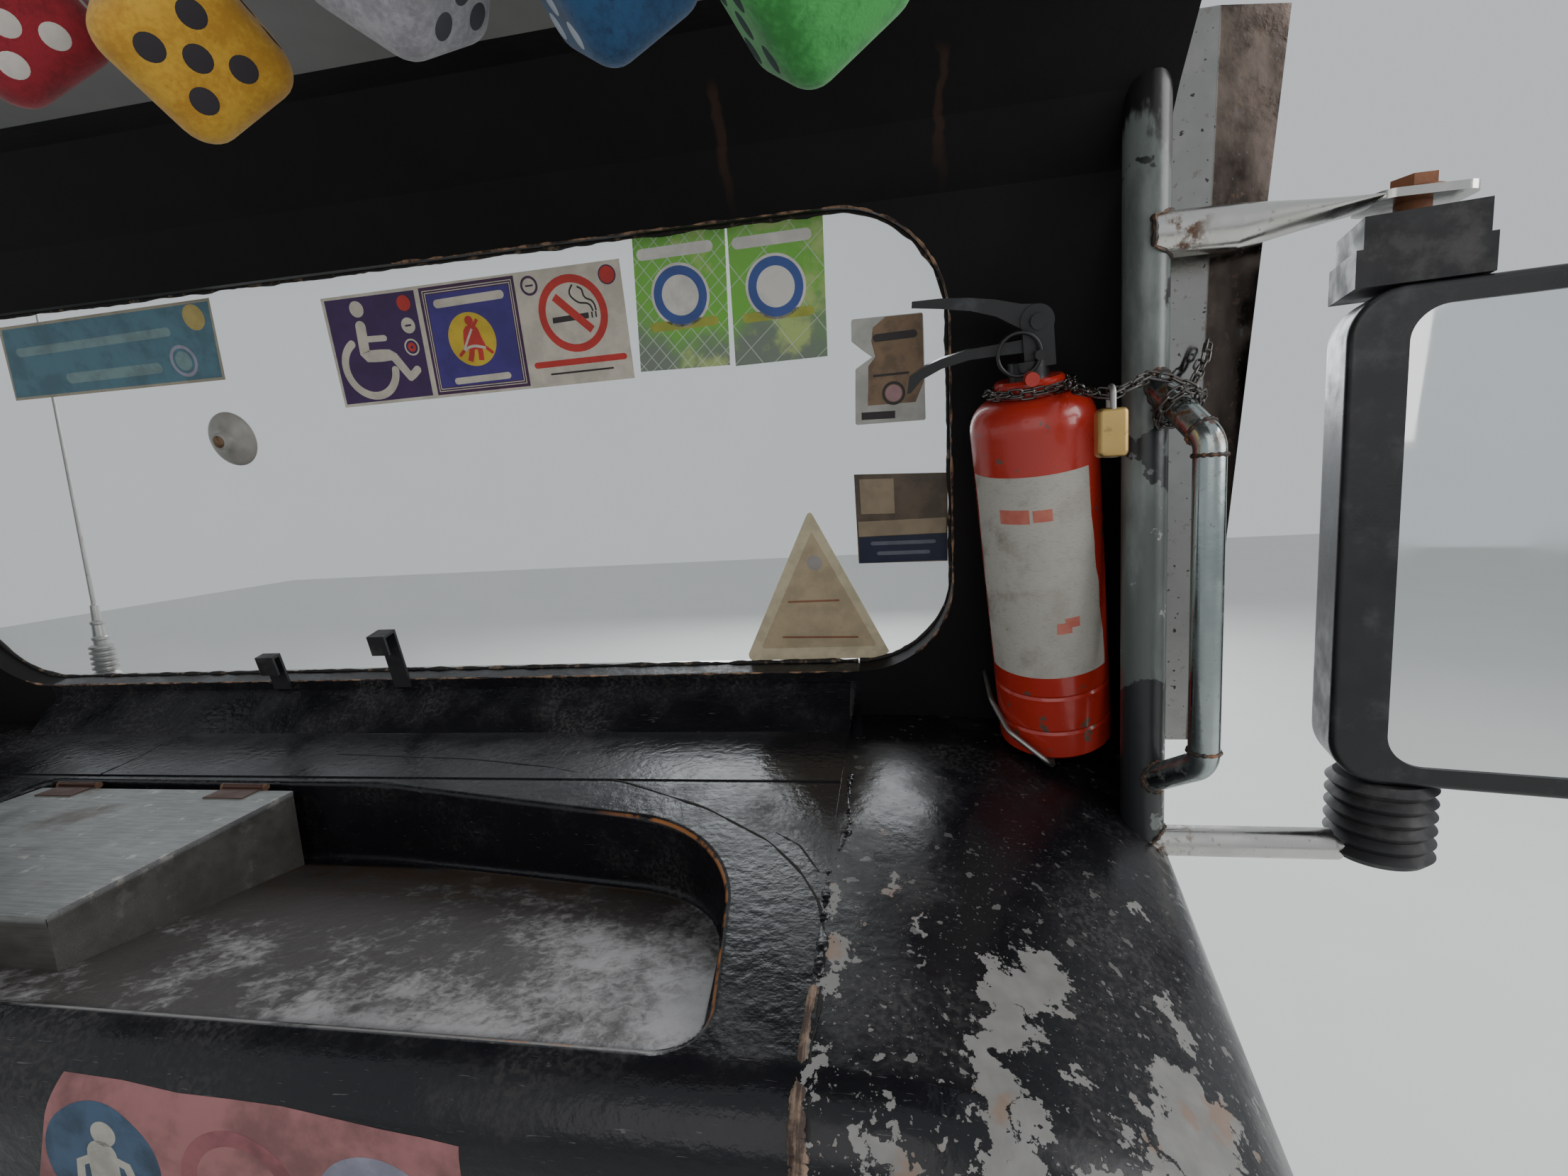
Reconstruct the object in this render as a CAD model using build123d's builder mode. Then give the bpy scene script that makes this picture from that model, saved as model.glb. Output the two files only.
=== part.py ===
"""Front of a jeepney's cab: firewall, dash with parcel tray, windscreen and its surround, pillars,
grab handles, mirrors, steering wheel, fire extinguisher and the dice that hang under the roof.

Frame: origin at the centre of the base bolts, on the underside of the base plate.
+X is the vehicle's right, +Y is forward, +Z is up. Lengths are in millimetres.
"""
from build123d import *
from math import atan2, cos, degrees, radians, sin, sqrt
import os

os.makedirs("parts", exist_ok=True)

# Driving dimensions of the cab
sheet = 3.0                     # wall of the body panels
half_width = 800.0              # outer face of the cab's side
dash_half = 525.0               # the dash ends here and the cab side begins
base_level = 708.0              # level that the windscreen frame stands on
cowl_level = 735.0              # underside of the scuttle
ceiling_level = 1290.0
roof_rear = -655.0

# Windscreen: rear face of its frame leans back from the foot to the head
foot_y, foot_z = -100.0, 762.0
head_y, head_z = -200.0, 1196.0
opening_half = 635.0
opening_radius = 100.0
frame_depth = 26.0
glass_lap = 15.0
glass_thickness = 6.0

# Pillar, handle and mirror on each side
pillar_x, pillar_y, pillar_r = 780.0, -230.0, 17.0
post_x, post_y, post_r = 957.0, -235.0, 11.0
handle_r = 11.0
mirror_yaw = 13.0
mirror_low, mirror_high = 707.0, 1076.0

# Steering
column_x = -435.0
wheel_y, wheel_z = -700.0, 617.0
rake = 32.0
rim_radius = 195.0

sides = [("right", 1), ("left", -1)]


def finish(node, name):
    """Label a finished sub-part and write it to its own file."""
    node.part.label = name
    export_step(node.part, f"parts/{name}.step")
    print(f"{name:26s} {len(node.part.solids()):3d} solids {node.part.volume / 1e3:10.1f} cm3")


def on_side(node, side):
    """The right-hand piece itself, or its mirror image for the left-hand side."""
    if side > 0:
        return
    mirrored = mirror(node.part, about=Plane.YZ, mode=Mode.PRIVATE)
    node.part = mirrored if isinstance(mirrored, Part) else Part(mirrored.wrapped)


# Windscreen plane: local x to the right, local y up the slope, local z forward
slope = sqrt((head_y - foot_y) ** 2 + (head_z - foot_z) ** 2)
lean = degrees(atan2(foot_y - head_y, head_z - foot_z))
opening_half_height = slope / 2
frame_plane = Plane(
    origin=(0, (foot_y + head_y) / 2, (foot_z + head_z) / 2),
    x_dir=(-1, 0, 0),
    z_dir=(0, cos(radians(lean)), sin(radians(lean))),
)
front_plane = frame_plane.offset(frame_depth)

# Dash profile in the side view, as distances along Y and Z
lap_start = (-215.0, 701.75)
lap_end = (-252.0, 699.66)
dash_corner = (-556.0, 658.0)
dash_foot = (-550.0, 480.0)
dash_return = (-530.0, 476.0)
roll_radius = 42.0
rim_drop = (lap_end[1] - dash_corner[1]) / (lap_end[0] - dash_corner[0])
rim_plane = Plane(origin=(0, *lap_end), x_dir=(1, 0, 0), z_dir=(0, -rim_drop, 1))

# Tray floor: it rises towards the seats until it meets the lip
floor_front = (-277.0, 620.0)
floor_rear = (-515.0, 660.0)
floor_rise = (floor_rear[1] - floor_front[1]) / (floor_front[0] - floor_rear[0])
floor_plane = Plane(origin=(0, *floor_front), x_dir=(1, 0, 0), z_dir=(0, floor_rise, 1))

# Cross sections of the cab side: distance along Y, height at the dash, drop to the outer face
side_sections = [
    (0.0, base_level, 40.0),
    (-140.0, base_level, 45.0),
    (-262.0, 697.0, 82.0),
    (-460.0, 671.0, 148.0),
    (-556.0, 658.0, 175.0),
]


def side_block(inset):
    """Solid of the right-hand cab side above the sill, smaller all round by inset."""
    with BuildPart() as block:
        for y, top, drop in side_sections:
            at_y = y + inset if y == side_sections[-1][0] else y
            plane = Plane(origin=(0, at_y, 0), x_dir=(1, 0, 0), z_dir=(0, -1, 0))
            width = half_width - inset - dash_half
            with BuildSketch(plane):
                with BuildLine():
                    Line((dash_half, -10), (dash_half, top - inset))
                    EllipticalCenterArc(
                        (dash_half, top - inset - drop), width, drop, start_angle=0, arc_size=90
                    )
                    Line((half_width - inset, top - inset - drop), (half_width - inset, -10))
                    Line((half_width - inset, -10), (dash_half, -10))
                make_face()
        loft(ruled=False)
        rear_edges = block.edges().filter_by(lambda e: abs(e.center().Y - at_y) < 0.5)
        top_rear = rear_edges.sort_by(Axis.Z)[-1]
        fillet(top_rear, roll_radius - inset)
    return block.part


side_outer = side_block(0.0)
side_inner = side_block(sheet)

roof_edge, roof_crown = 1318.0, 1349.0
header_foot = front_plane.from_local_coords((0, opening_half_height, 0))
header_front_y = header_foot.Y - (roof_edge - header_foot.Z) * (foot_y - head_y) / (head_z - foot_z)
with BuildPart() as header_block:
    with BuildSketch(Plane.YZ.offset(-half_width)):
        with BuildLine():
            Polyline(
                (head_y, head_z),
                (header_foot.Y, header_foot.Z),
                (header_front_y, roof_edge),
                (-330, roof_edge),
                (-330, ceiling_level),
                (-300, ceiling_level),
                (-238, 1238),
                close=True,
            )
        make_face()
    extrude(amount=2 * half_width)
header_solid = header_block.part

# Base plate with its four bolts
bolt_span_x, bolt_span_y, bolt_r = 1400.0, 70.0, 5.5
plate_thickness = 5.0
with BuildPart() as base_plate:
    with BuildSketch():
        Rectangle(1480, 120)
        with GridLocations(bolt_span_x, bolt_span_y, 2, 2):
            Circle(bolt_r, mode=Mode.SUBTRACT)
    extrude(amount=plate_thickness)
    fillet(base_plate.edges().filter_by(Axis.Z).group_by(Axis.X)[0], 12)
    fillet(base_plate.edges().filter_by(Axis.Z).group_by(Axis.X)[-1], 12)
finish(base_plate, "base_plate")

# Steering axis: from the wheel's centre, down and forward through the firewall
column_plane = Plane(
    origin=(column_x, wheel_y, wheel_z),
    x_dir=(1, 0, 0),
    z_dir=(0, cos(radians(rake)), -sin(radians(rake))),
)
shaft_r, jacket_r, collar_r = 9.5, 25.0, 31.0
to_firewall = -wheel_y / cos(radians(rake))

# Firewall: a plate with pressed beads across it and a hole for the steering shaft
with BuildPart() as firewall:
    with BuildSketch(Plane.XZ):
        with Locations((0, (plate_thickness + cowl_level) / 2)):
            Rectangle(2 * half_width, cowl_level - plate_thickness)
    extrude(amount=-sheet)
    for bead_z in (250, 420, 590):
        with BuildSketch(Plane.YZ.offset(-650)):
            with Locations((sheet, bead_z)):
                Circle(9)
            with Locations((sheet - 50, bead_z)):
                Rectangle(100, 40, mode=Mode.SUBTRACT)
        extrude(amount=1300)
    with BuildSketch(column_plane.offset(to_firewall - 60)):
        Circle(shaft_r + 3)
    extrude(amount=140, mode=Mode.SUBTRACT)
finish(firewall, "firewall")

# Scuttle between firewall and windscreen, with the flange that the bonnet's hinges bolt to
bonnet_span_x, bonnet_span_z, bonnet_bolt_r = 800.0, 24.0, 4.5
cowl_front = 60.0
flange_mid = 708.0
with BuildPart() as cowl_top:
    with Locations((0, (cowl_front - 100) / 2, cowl_level + sheet / 2)):
        Box(2 * half_width, cowl_front + 100, sheet)
    with Locations((0, cowl_front - sheet / 2, cowl_level - 27)):
        Box(2 * half_width, sheet, 54)
    for side in (1, -1):
        with Locations((side * (half_width - sheet / 2), -50, cowl_level - 35)):
            Box(sheet, 100, 70)
    add(side_outer, mode=Mode.SUBTRACT)
    add(mirror(side_outer, about=Plane.YZ, mode=Mode.PRIVATE), mode=Mode.SUBTRACT)
    split(bisect_by=front_plane, keep=Keep.TOP)
    with BuildSketch(Plane.XZ.offset(-cowl_front)):
        with Locations((0, flange_mid)):
            with GridLocations(bonnet_span_x, bonnet_span_z, 2, 2):
                Circle(bonnet_bolt_r)
    extrude(amount=3 * sheet, both=True, mode=Mode.SUBTRACT)
finish(cowl_top, "cowl_top")

# Cab sides: rounded shoulder, outer skin with the door opening cut out of it
for word, side in sides:
    with BuildPart() as cab_side:
        add(side_outer)
        add(side_inner, mode=Mode.SUBTRACT)
        with BuildSketch(Plane.YZ.offset(dash_half - 10)):
            with BuildLine():
                ThreePointArc((-560, 440), (-290, 262), (-150, -20))
                Polyline((-150, -20), (-640, -20), (-640, 440), (-560, 440))
            make_face()
        extrude(amount=400, mode=Mode.SUBTRACT)
        with Locations((dash_half + 150, -60, plate_thickness - 20)):
            Box(500, 900, 40, mode=Mode.SUBTRACT)
        with Locations((pillar_x, pillar_y, 700)):
            Cylinder(pillar_r, 300, mode=Mode.SUBTRACT)
    on_side(cab_side, side)
    finish(cab_side, f"cab_side_{word}")

# Windscreen frame: lower rail, header, and two posts that carry the rounded corners
corner_x = opening_half - opening_radius
with BuildPart() as lower_rail:
    with BuildSketch(frame_plane):
        with Locations((0, -opening_half_height - 50)):
            Rectangle(2 * corner_x, 100)
    extrude(amount=frame_depth)
    split(bisect_by=Plane.XY.offset(base_level), keep=Keep.TOP)
    add(side_outer, mode=Mode.SUBTRACT)
    add(mirror(side_outer, about=Plane.YZ, mode=Mode.PRIVATE), mode=Mode.SUBTRACT)
finish(lower_rail, "windscreen_lower_rail")

for word, side in sides:
    with BuildPart() as post:
        with BuildSketch(frame_plane):
            with Locations((-(corner_x + half_width) / 2, -50)):
                Rectangle(half_width - corner_x, 2 * opening_half_height + 100)
            RectangleRounded(
                2 * opening_half, 2 * opening_half_height, opening_radius, mode=Mode.SUBTRACT
            )
        extrude(amount=frame_depth)
        add(side_outer, mode=Mode.SUBTRACT)
        split(bisect_by=Plane.XY.offset(560), keep=Keep.TOP)
    on_side(post, side)
    finish(post, f"windscreen_post_{word}")

with BuildPart() as header:
    add(header_solid)
    with BuildSketch(Plane.YZ.offset(-half_width - 1)):
        with BuildLine():
            Polyline(
                (head_y - 1, head_z + 8),
                (head_y + 19, head_z + 12),
                (-204.2, 1315),
                (-327, 1315),
                (-327, ceiling_level + sheet),
                (-300, ceiling_level + sheet),
                (-236, 1240),
                close=True,
            )
        make_face()
    extrude(amount=2 * half_width + 2, mode=Mode.SUBTRACT)
finish(header, "windscreen_header")

with BuildPart() as glass:
    with BuildSketch(front_plane):
        RectangleRounded(
            2 * (opening_half + glass_lap),
            2 * (opening_half_height + glass_lap),
            opening_radius + glass_lap,
        )
    extrude(amount=glass_thickness)
finish(glass, "windscreen_glass")

seal_width = 14.0
with BuildPart() as seal:
    with BuildSketch(front_plane):
        RectangleRounded(
            2 * (opening_half + glass_lap + seal_width),
            2 * (opening_half_height + glass_lap + seal_width),
            opening_radius + glass_lap + seal_width,
        )
        RectangleRounded(
            2 * (opening_half + glass_lap),
            2 * (opening_half_height + glass_lap),
            opening_radius + glass_lap,
            mode=Mode.SUBTRACT,
        )
    extrude(amount=9)
    add(cowl_top.part, mode=Mode.SUBTRACT)
finish(seal, "windscreen_seal")

# Roof: ceiling panel, crowned skin, rear bow and the rails over the doors
with BuildPart() as ceiling:
    with Locations((0, (roof_rear - 330) / 2, ceiling_level + sheet / 2)):
        Box(2 * half_width, -330 - roof_rear, sheet)
finish(ceiling, "ceiling_panel")

with BuildPart() as roof_skin:
    with BuildSketch(Plane.XZ.offset(-roof_rear - 10)):
        with BuildLine():
            ThreePointArc((-half_width - sheet, roof_edge), (0, roof_crown), (half_width + sheet, roof_edge))
            Line((half_width + sheet, roof_edge), (half_width + sheet, roof_edge + sheet))
            ThreePointArc(
                (half_width + sheet, roof_edge + sheet),
                (0, roof_crown + sheet),
                (-half_width - sheet, roof_edge + sheet),
            )
            Line((-half_width - sheet, roof_edge + sheet), (-half_width - sheet, roof_edge))
        make_face()
    extrude(amount=roof_rear + 178 + 10)
    for side in (1, -1):
        with Locations((side * (half_width + sheet / 2), (roof_rear - 188) / 2, 1304.5)):
            Box(sheet, -178 - roof_rear, 29)
finish(roof_skin, "roof_skin")

with BuildPart() as roof_bow:
    with BuildSketch(Plane.XZ.offset(-roof_rear - 5)):
        with BuildLine():
            ThreePointArc((-half_width, roof_edge), (0, roof_crown), (half_width, roof_edge))
            Polyline(
                (half_width, roof_edge),
                (half_width, ceiling_level + sheet),
                (-half_width, ceiling_level + sheet),
                (-half_width, roof_edge),
            )
        make_face()
    extrude(amount=-30)
finish(roof_bow, "roof_bow")

for word, side in sides:
    with BuildPart() as cant_rail:
        with Locations((half_width - 16, (roof_rear - 330) / 2, ceiling_level - 18)):
            Box(32, -330 - roof_rear, 36)
        fillet(cant_rail.edges().filter_by(Axis.Y).group_by(Axis.Z)[0], 6)
    on_side(cant_rail, side)
    finish(cant_rail, f"cant_rail_{word}")

# Quarter panels close the gap between the leaning frame and the pillars
for word, side in sides:
    with BuildPart() as quarter:
        with BuildSketch(Plane.YZ.offset(half_width)):
            with BuildLine():
                Polyline(
                    (-40, 560), (-215, 560), (-215, ceiling_level), (-192, ceiling_level),
                    (-66, cowl_level + 20), (-40, 690), close=True,
                )
            make_face()
        extrude(amount=sheet)
    on_side(quarter, side)
    finish(quarter, f"quarter_panel_{word}")

# Door pillars, from inside the cab side up to the header
for word, side in sides:
    with BuildPart() as pillar:
        with Locations((pillar_x, pillar_y, 540)):
            Cylinder(pillar_r, 760, align=(Align.CENTER, Align.CENTER, Align.MIN))
        add(header_solid, mode=Mode.SUBTRACT)
        split(bisect_by=Plane.XY.offset(1245), keep=Keep.BOTTOM)
    on_side(pillar, side)
    finish(pillar, f"door_pillar_{word}")

# Polished side trim outside each pillar: a folded sheet that tapers towards its foot
trim_low, trim_high = 725.0, 1300.0
trim_sheet = 2.5
for word, side in sides:
    with BuildPart() as trim:
        for z, fold_x, edge_x, edge_step in ((trim_low, 822, 836, 3), (trim_high, 838, 892, 12)):
            with BuildSketch(Plane.XY.offset(z)):
                with BuildLine():
                    Polyline(
                        (half_width + sheet, -208),
                        (fold_x, -208),
                        (edge_x, -208 + edge_step),
                        (edge_x, -208 + edge_step + trim_sheet),
                        (fold_x, -208 + trim_sheet),
                        (half_width + sheet, -208 + trim_sheet),
                        close=True,
                    )
                make_face()
        loft(ruled=True)
    on_side(trim, side)
    finish(trim, f"pillar_trim_{word}")

# Grab handles: bent tube welded to the rear of each pillar
for word, side in sides:
    with BuildPart() as handle:
        with BuildLine() as route:
            FilletPolyline(
                (pillar_x, pillar_y, 1034), (807, -285, 977), (807, -285, 734),
                (pillar_x, pillar_y, 696), radius=18,
            )
        with BuildSketch(Plane(origin=route.line @ 0, z_dir=route.line % 0)):
            Circle(handle_r)
        sweep()
        with Locations((pillar_x, pillar_y, 870)):
            Cylinder(pillar_r, 800, mode=Mode.SUBTRACT)
    on_side(handle, side)
    finish(handle, f"grab_handle_{word}")

# Dash ledge under the windscreen, and the pressing with the parcel tray
with BuildPart() as ledge:
    with BuildSketch(Plane.YZ.offset(-dash_half)):
        with BuildLine():
            Polyline(
                (-97.4, 751.0), (-140, 709), (-246, 701.4), (-246, 700), (-140.8, 706),
                (-96, 749.4), close=True,
            )
        make_face()
    extrude(amount=2 * dash_half)
    add(lower_rail.part, mode=Mode.SUBTRACT)
finish(ledge, "dash_ledge")

# Tray's rim in its own plane: distance to the right, distance forward, corner radius
tray_rim = [(-338, -5, 24), (71, -5, 200), (444, -66, 125), (473, -269, 28), (-338, -268, 24)]
tray_taper = 5.0
tray_bend = 6.0
rim_roll = 5.0


def tray_tub(grow):
    """Tapered tub under the tray's rim, larger all round by grow, with a rounded foot."""
    with BuildPart() as tub:
        with BuildSketch(rim_plane):
            with BuildLine():
                FilletPolyline(
                    *[(x, y) for x, y, r in tray_rim],
                    radius=[r for x, y, r in tray_rim],
                    close=True,
                )
            make_face()
            if grow:
                offset(amount=grow, kind=Kind.ARC)
        extrude(amount=-110, taper=tray_taper)
        split(bisect_by=floor_plane.offset(-grow), keep=Keep.TOP)
        fillet(tub.faces().filter_by(floor_plane)[0].edges(), tray_bend + grow)
    return tub.part


def on_tray_rim(edge):
    """True for the edges of the tray's opening in the dash's top."""
    level = all(abs(rim_plane.to_local_coords(edge @ t).Z) < 0.01 for t in (0, 0.5, 1))
    middle = edge.center()
    return level and -340 < middle.X < 480 and -522 < middle.Y < -254


with BuildPart() as pressing:
    with BuildSketch(Plane.YZ.offset(-dash_half)):
        with BuildLine() as outside:
            FilletPolyline(
                lap_start, lap_end, dash_corner, dash_foot, dash_return,
                radius=[3.1, roll_radius, 5.0],
            )
            offset(outside.line, amount=sheet, side=Side.LEFT)
        make_face()
    extrude(amount=2 * dash_half)
    add(tray_tub(sheet))
    add(tray_tub(0), mode=Mode.SUBTRACT)
    fillet(pressing.edges().filter_by(on_tray_rim), rim_roll)
    with BuildSketch(column_plane.offset(120)):
        Circle(collar_r)
    extrude(amount=110, mode=Mode.SUBTRACT)
finish(pressing, "dash_pressing")

# Metal box that stands in the tray, its hinged lid and the two hinges
box_left, box_right = -315.0, -14.0
box_rear, box_front = -478.0, -270.0
box_top, box_wall = 694.0, 2.0
box_mid_x, box_mid_y = (box_left + box_right) / 2, (box_rear + box_front) / 2
box_size_x, box_size_y = box_right - box_left, box_front - box_rear


def box_core(inset, top):
    """Block with the box's plan, smaller by inset, that stands on the tray's sloping floor."""
    with BuildPart() as core:
        with BuildSketch(Plane.XY.offset(600)):
            with Locations((box_mid_x, box_mid_y)):
                Rectangle(box_size_x - 2 * inset, box_size_y - 2 * inset)
        extrude(amount=top - 600)
        split(bisect_by=floor_plane.offset(inset), keep=Keep.TOP)
    return core.part


with BuildPart() as tray_box:
    add(box_core(0, box_top))
    add(box_core(box_wall, box_top + 10), mode=Mode.SUBTRACT)
finish(tray_box, "tray_box")

hinge_xs = (-275.0, -72.0)
hinge_y, hinge_z = -266.5, 698.6
hinge_pin_r, hinge_barrel_r, hinge_length = 1.6, 3.0, 45.0
lid_low, lid_high = box_top + 0.4, box_top + 2.6
lid_lip = 1.5
with BuildPart() as box_lid:
    with Locations((box_mid_x, box_mid_y - lid_lip, (lid_low + lid_high) / 2)):
        Box(box_size_x + 2 * lid_lip, box_size_y + 0.8, lid_high - lid_low)
    with Locations((box_mid_x, box_rear - lid_lip + 0.5, lid_low - 3)):
        Box(box_size_x, 1.0, 7)
    for x in hinge_xs:
        with Locations((x, hinge_y - 13, lid_high + 0.7)):
            Box(hinge_length, 24, 1.4)
        with BuildSketch(Plane.YZ.offset(x - hinge_length / 2)):
            with Locations((hinge_y, hinge_z)):
                Circle(hinge_barrel_r)
        extrude(amount=hinge_length)
    for x in hinge_xs:
        with BuildSketch(Plane.YZ.offset(x - hinge_length / 2 - 1)):
            with Locations((hinge_y, hinge_z)):
                Circle(hinge_pin_r + 0.06)
        extrude(amount=hinge_length + 2, mode=Mode.SUBTRACT)
finish(box_lid, "box_lid")

tab = 3.0
with BuildPart() as box_hinges:
    for x in hinge_xs:
        with BuildSketch(Plane.YZ.offset(x - hinge_length / 2 - tab)):
            with Locations((hinge_y, hinge_z)):
                Circle(hinge_pin_r)
        extrude(amount=hinge_length + 2 * tab)
        for end in (-1, 1):
            with BuildSketch(Plane.YZ.offset(x + end * (hinge_length / 2 + tab / 2 + 0.5) - tab / 2)):
                with Locations((hinge_y, hinge_z)):
                    Circle(hinge_barrel_r)
                with Locations((box_front + 1.75, hinge_z - 9)):
                    Rectangle(3.5, 18)
            extrude(amount=tab)
        with Locations((x, box_front + 0.75, box_top - 10)):
            Box(hinge_length + 8, 1.5, 12)
finish(box_hinges, "box_hinges")

# Instrument binnacle in front of the driver, with two round gauges
binnacle_width, binnacle_top = 164.0, 768.0
binnacle_rear, binnacle_front = -470.0, -330.0
gauge_offsets = (-38.0, 38.0)
gauge_z, gauge_r, recess = 724.0, 32.0, 12.0
with BuildPart() as binnacle:
    with BuildSketch(Plane.XZ.offset(-binnacle_front)):
        with Locations((column_x, (binnacle_top + 640) / 2)):
            Rectangle(binnacle_width, binnacle_top - 640)
    extrude(amount=binnacle_front - binnacle_rear)
    fillet(binnacle.edges().filter_by(Axis.Y).group_by(Axis.Z)[-1], 34)
    with BuildSketch(Plane.XZ.offset(-binnacle_rear)):
        with Locations((column_x, gauge_z)):
            RectangleRounded(binnacle_width - 12, 68, 30)
    extrude(amount=-recess, mode=Mode.SUBTRACT)
    split(bisect_by=rim_plane, keep=Keep.TOP)
finish(binnacle, "binnacle")

with BuildPart() as gauges:
    for dx in gauge_offsets:
        with BuildSketch(Plane.XZ.offset(-binnacle_rear - recess)):
            with Locations((column_x + dx, gauge_z)):
                Circle(gauge_r)
        extrude(amount=3)
        with BuildSketch(Plane.XZ.offset(-binnacle_rear - recess + 3)):
            with Locations((column_x + dx, gauge_z)):
                Circle(gauge_r)
                Circle(gauge_r - 4, mode=Mode.SUBTRACT)
        extrude(amount=7)
finish(gauges, "gauges")

# Steering column: jacket, its bushes, the collar where it passes the dash, shaft and wheel
with BuildPart() as jacket:
    with BuildSketch(column_plane.offset(70)):
        Circle(jacket_r)
        Circle(jacket_r - 3, mode=Mode.SUBTRACT)
    extrude(amount=to_firewall)
    split(bisect_by=Plane.XZ, keep=Keep.TOP)
finish(jacket, "column_jacket")

with BuildPart() as bushes:
    for start in (70, to_firewall - 60):
        with BuildSketch(column_plane.offset(start)):
            Circle(jacket_r - 3)
            Circle(shaft_r + 0.06, mode=Mode.SUBTRACT)
        extrude(amount=22)
finish(bushes, "column_bushes")

with BuildPart() as collar:
    with BuildSketch(column_plane.offset(155)):
        Circle(collar_r)
        Circle(jacket_r, mode=Mode.SUBTRACT)
    extrude(amount=45)
finish(collar, "column_collar")

hub_reach = 36.0
shaft_end_r, shaft_end_length, shaft_reach = 8.5, 40.0, 896.0
with BuildPart() as shaft:
    with BuildSketch(column_plane.offset(hub_reach)):
        Circle(shaft_r)
    extrude(amount=shaft_reach - shaft_end_length - hub_reach)
    with BuildSketch(column_plane.offset(shaft_reach - shaft_end_length)):
        Circle(shaft_end_r)
    extrude(amount=shaft_end_length)
finish(shaft, "steering_shaft")

rim_tube_r = 12.0
hub_r, spoke_width, spoke_depth = 34.0, 30.0, 8.0
spoke_angles = (90, 20, 160)
with BuildPart() as wheel:
    with BuildSketch(
        Plane(
            origin=column_plane.origin,
            x_dir=(1, 0, 0),
            z_dir=(0, sin(radians(rake)), cos(radians(rake))),
        )
    ):
        with Locations((rim_radius, 0)):
            Circle(rim_tube_r)
    revolve(axis=Axis(column_plane.origin, column_plane.z_dir))
    with BuildSketch(column_plane.offset(-6)):
        Circle(hub_r)
    extrude(amount=hub_reach + 6)
    with BuildSketch(column_plane.offset(-spoke_depth / 2)):
        for angle in spoke_angles:
            middle = (rim_radius + hub_r / 2) / 2
            place = (middle * cos(radians(angle)), middle * sin(radians(angle)))
            with Locations(Location((*place, 0), (0, 0, angle))):
                Rectangle(rim_radius - hub_r / 2, spoke_width)
    extrude(amount=spoke_depth)
finish(wheel, "steering_wheel")

# Mirrors: two arms welded to the pillar, a post between them, rubber blocks at its ends,
# and a housing that swivels on the post with its glass set into a frame
arm_levels = (1133.0, 646.0)
blade_z, blade_thickness, blade_width = 1138.0, 6.0, 44.0
arm_r, lower_arm_r = 16.5, 12.5
housing_inner, housing_outer = -42.0, 150.0
housing_depth, housing_rear = 68.0, 28.0
housing_radius = 34.0
glass_margins = {"inner": 36.0, "outer": 14.0, "ends": 16.0}
gap_at_rod = 1.0
yaw = radians(mirror_yaw)
mirror_plane = Plane(
    origin=(post_x, post_y, (mirror_low + mirror_high) / 2),
    x_dir=(cos(yaw), -sin(yaw), 0),
    z_dir=(-sin(yaw), -cos(yaw), 0),
)
housing_mid = (housing_inner + housing_outer) / 2
housing_width = housing_outer - housing_inner
housing_height = mirror_high - mirror_low
glass_width = housing_width - glass_margins["inner"] - glass_margins["outer"]
glass_mid = housing_inner + glass_margins["inner"] + glass_width / 2
glass_height = housing_height - 2 * glass_margins["ends"]
boot_low, boot_high, boot_r = 640.0, mirror_low - gap_at_rod, 36.0
boot_rings = 6
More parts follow.
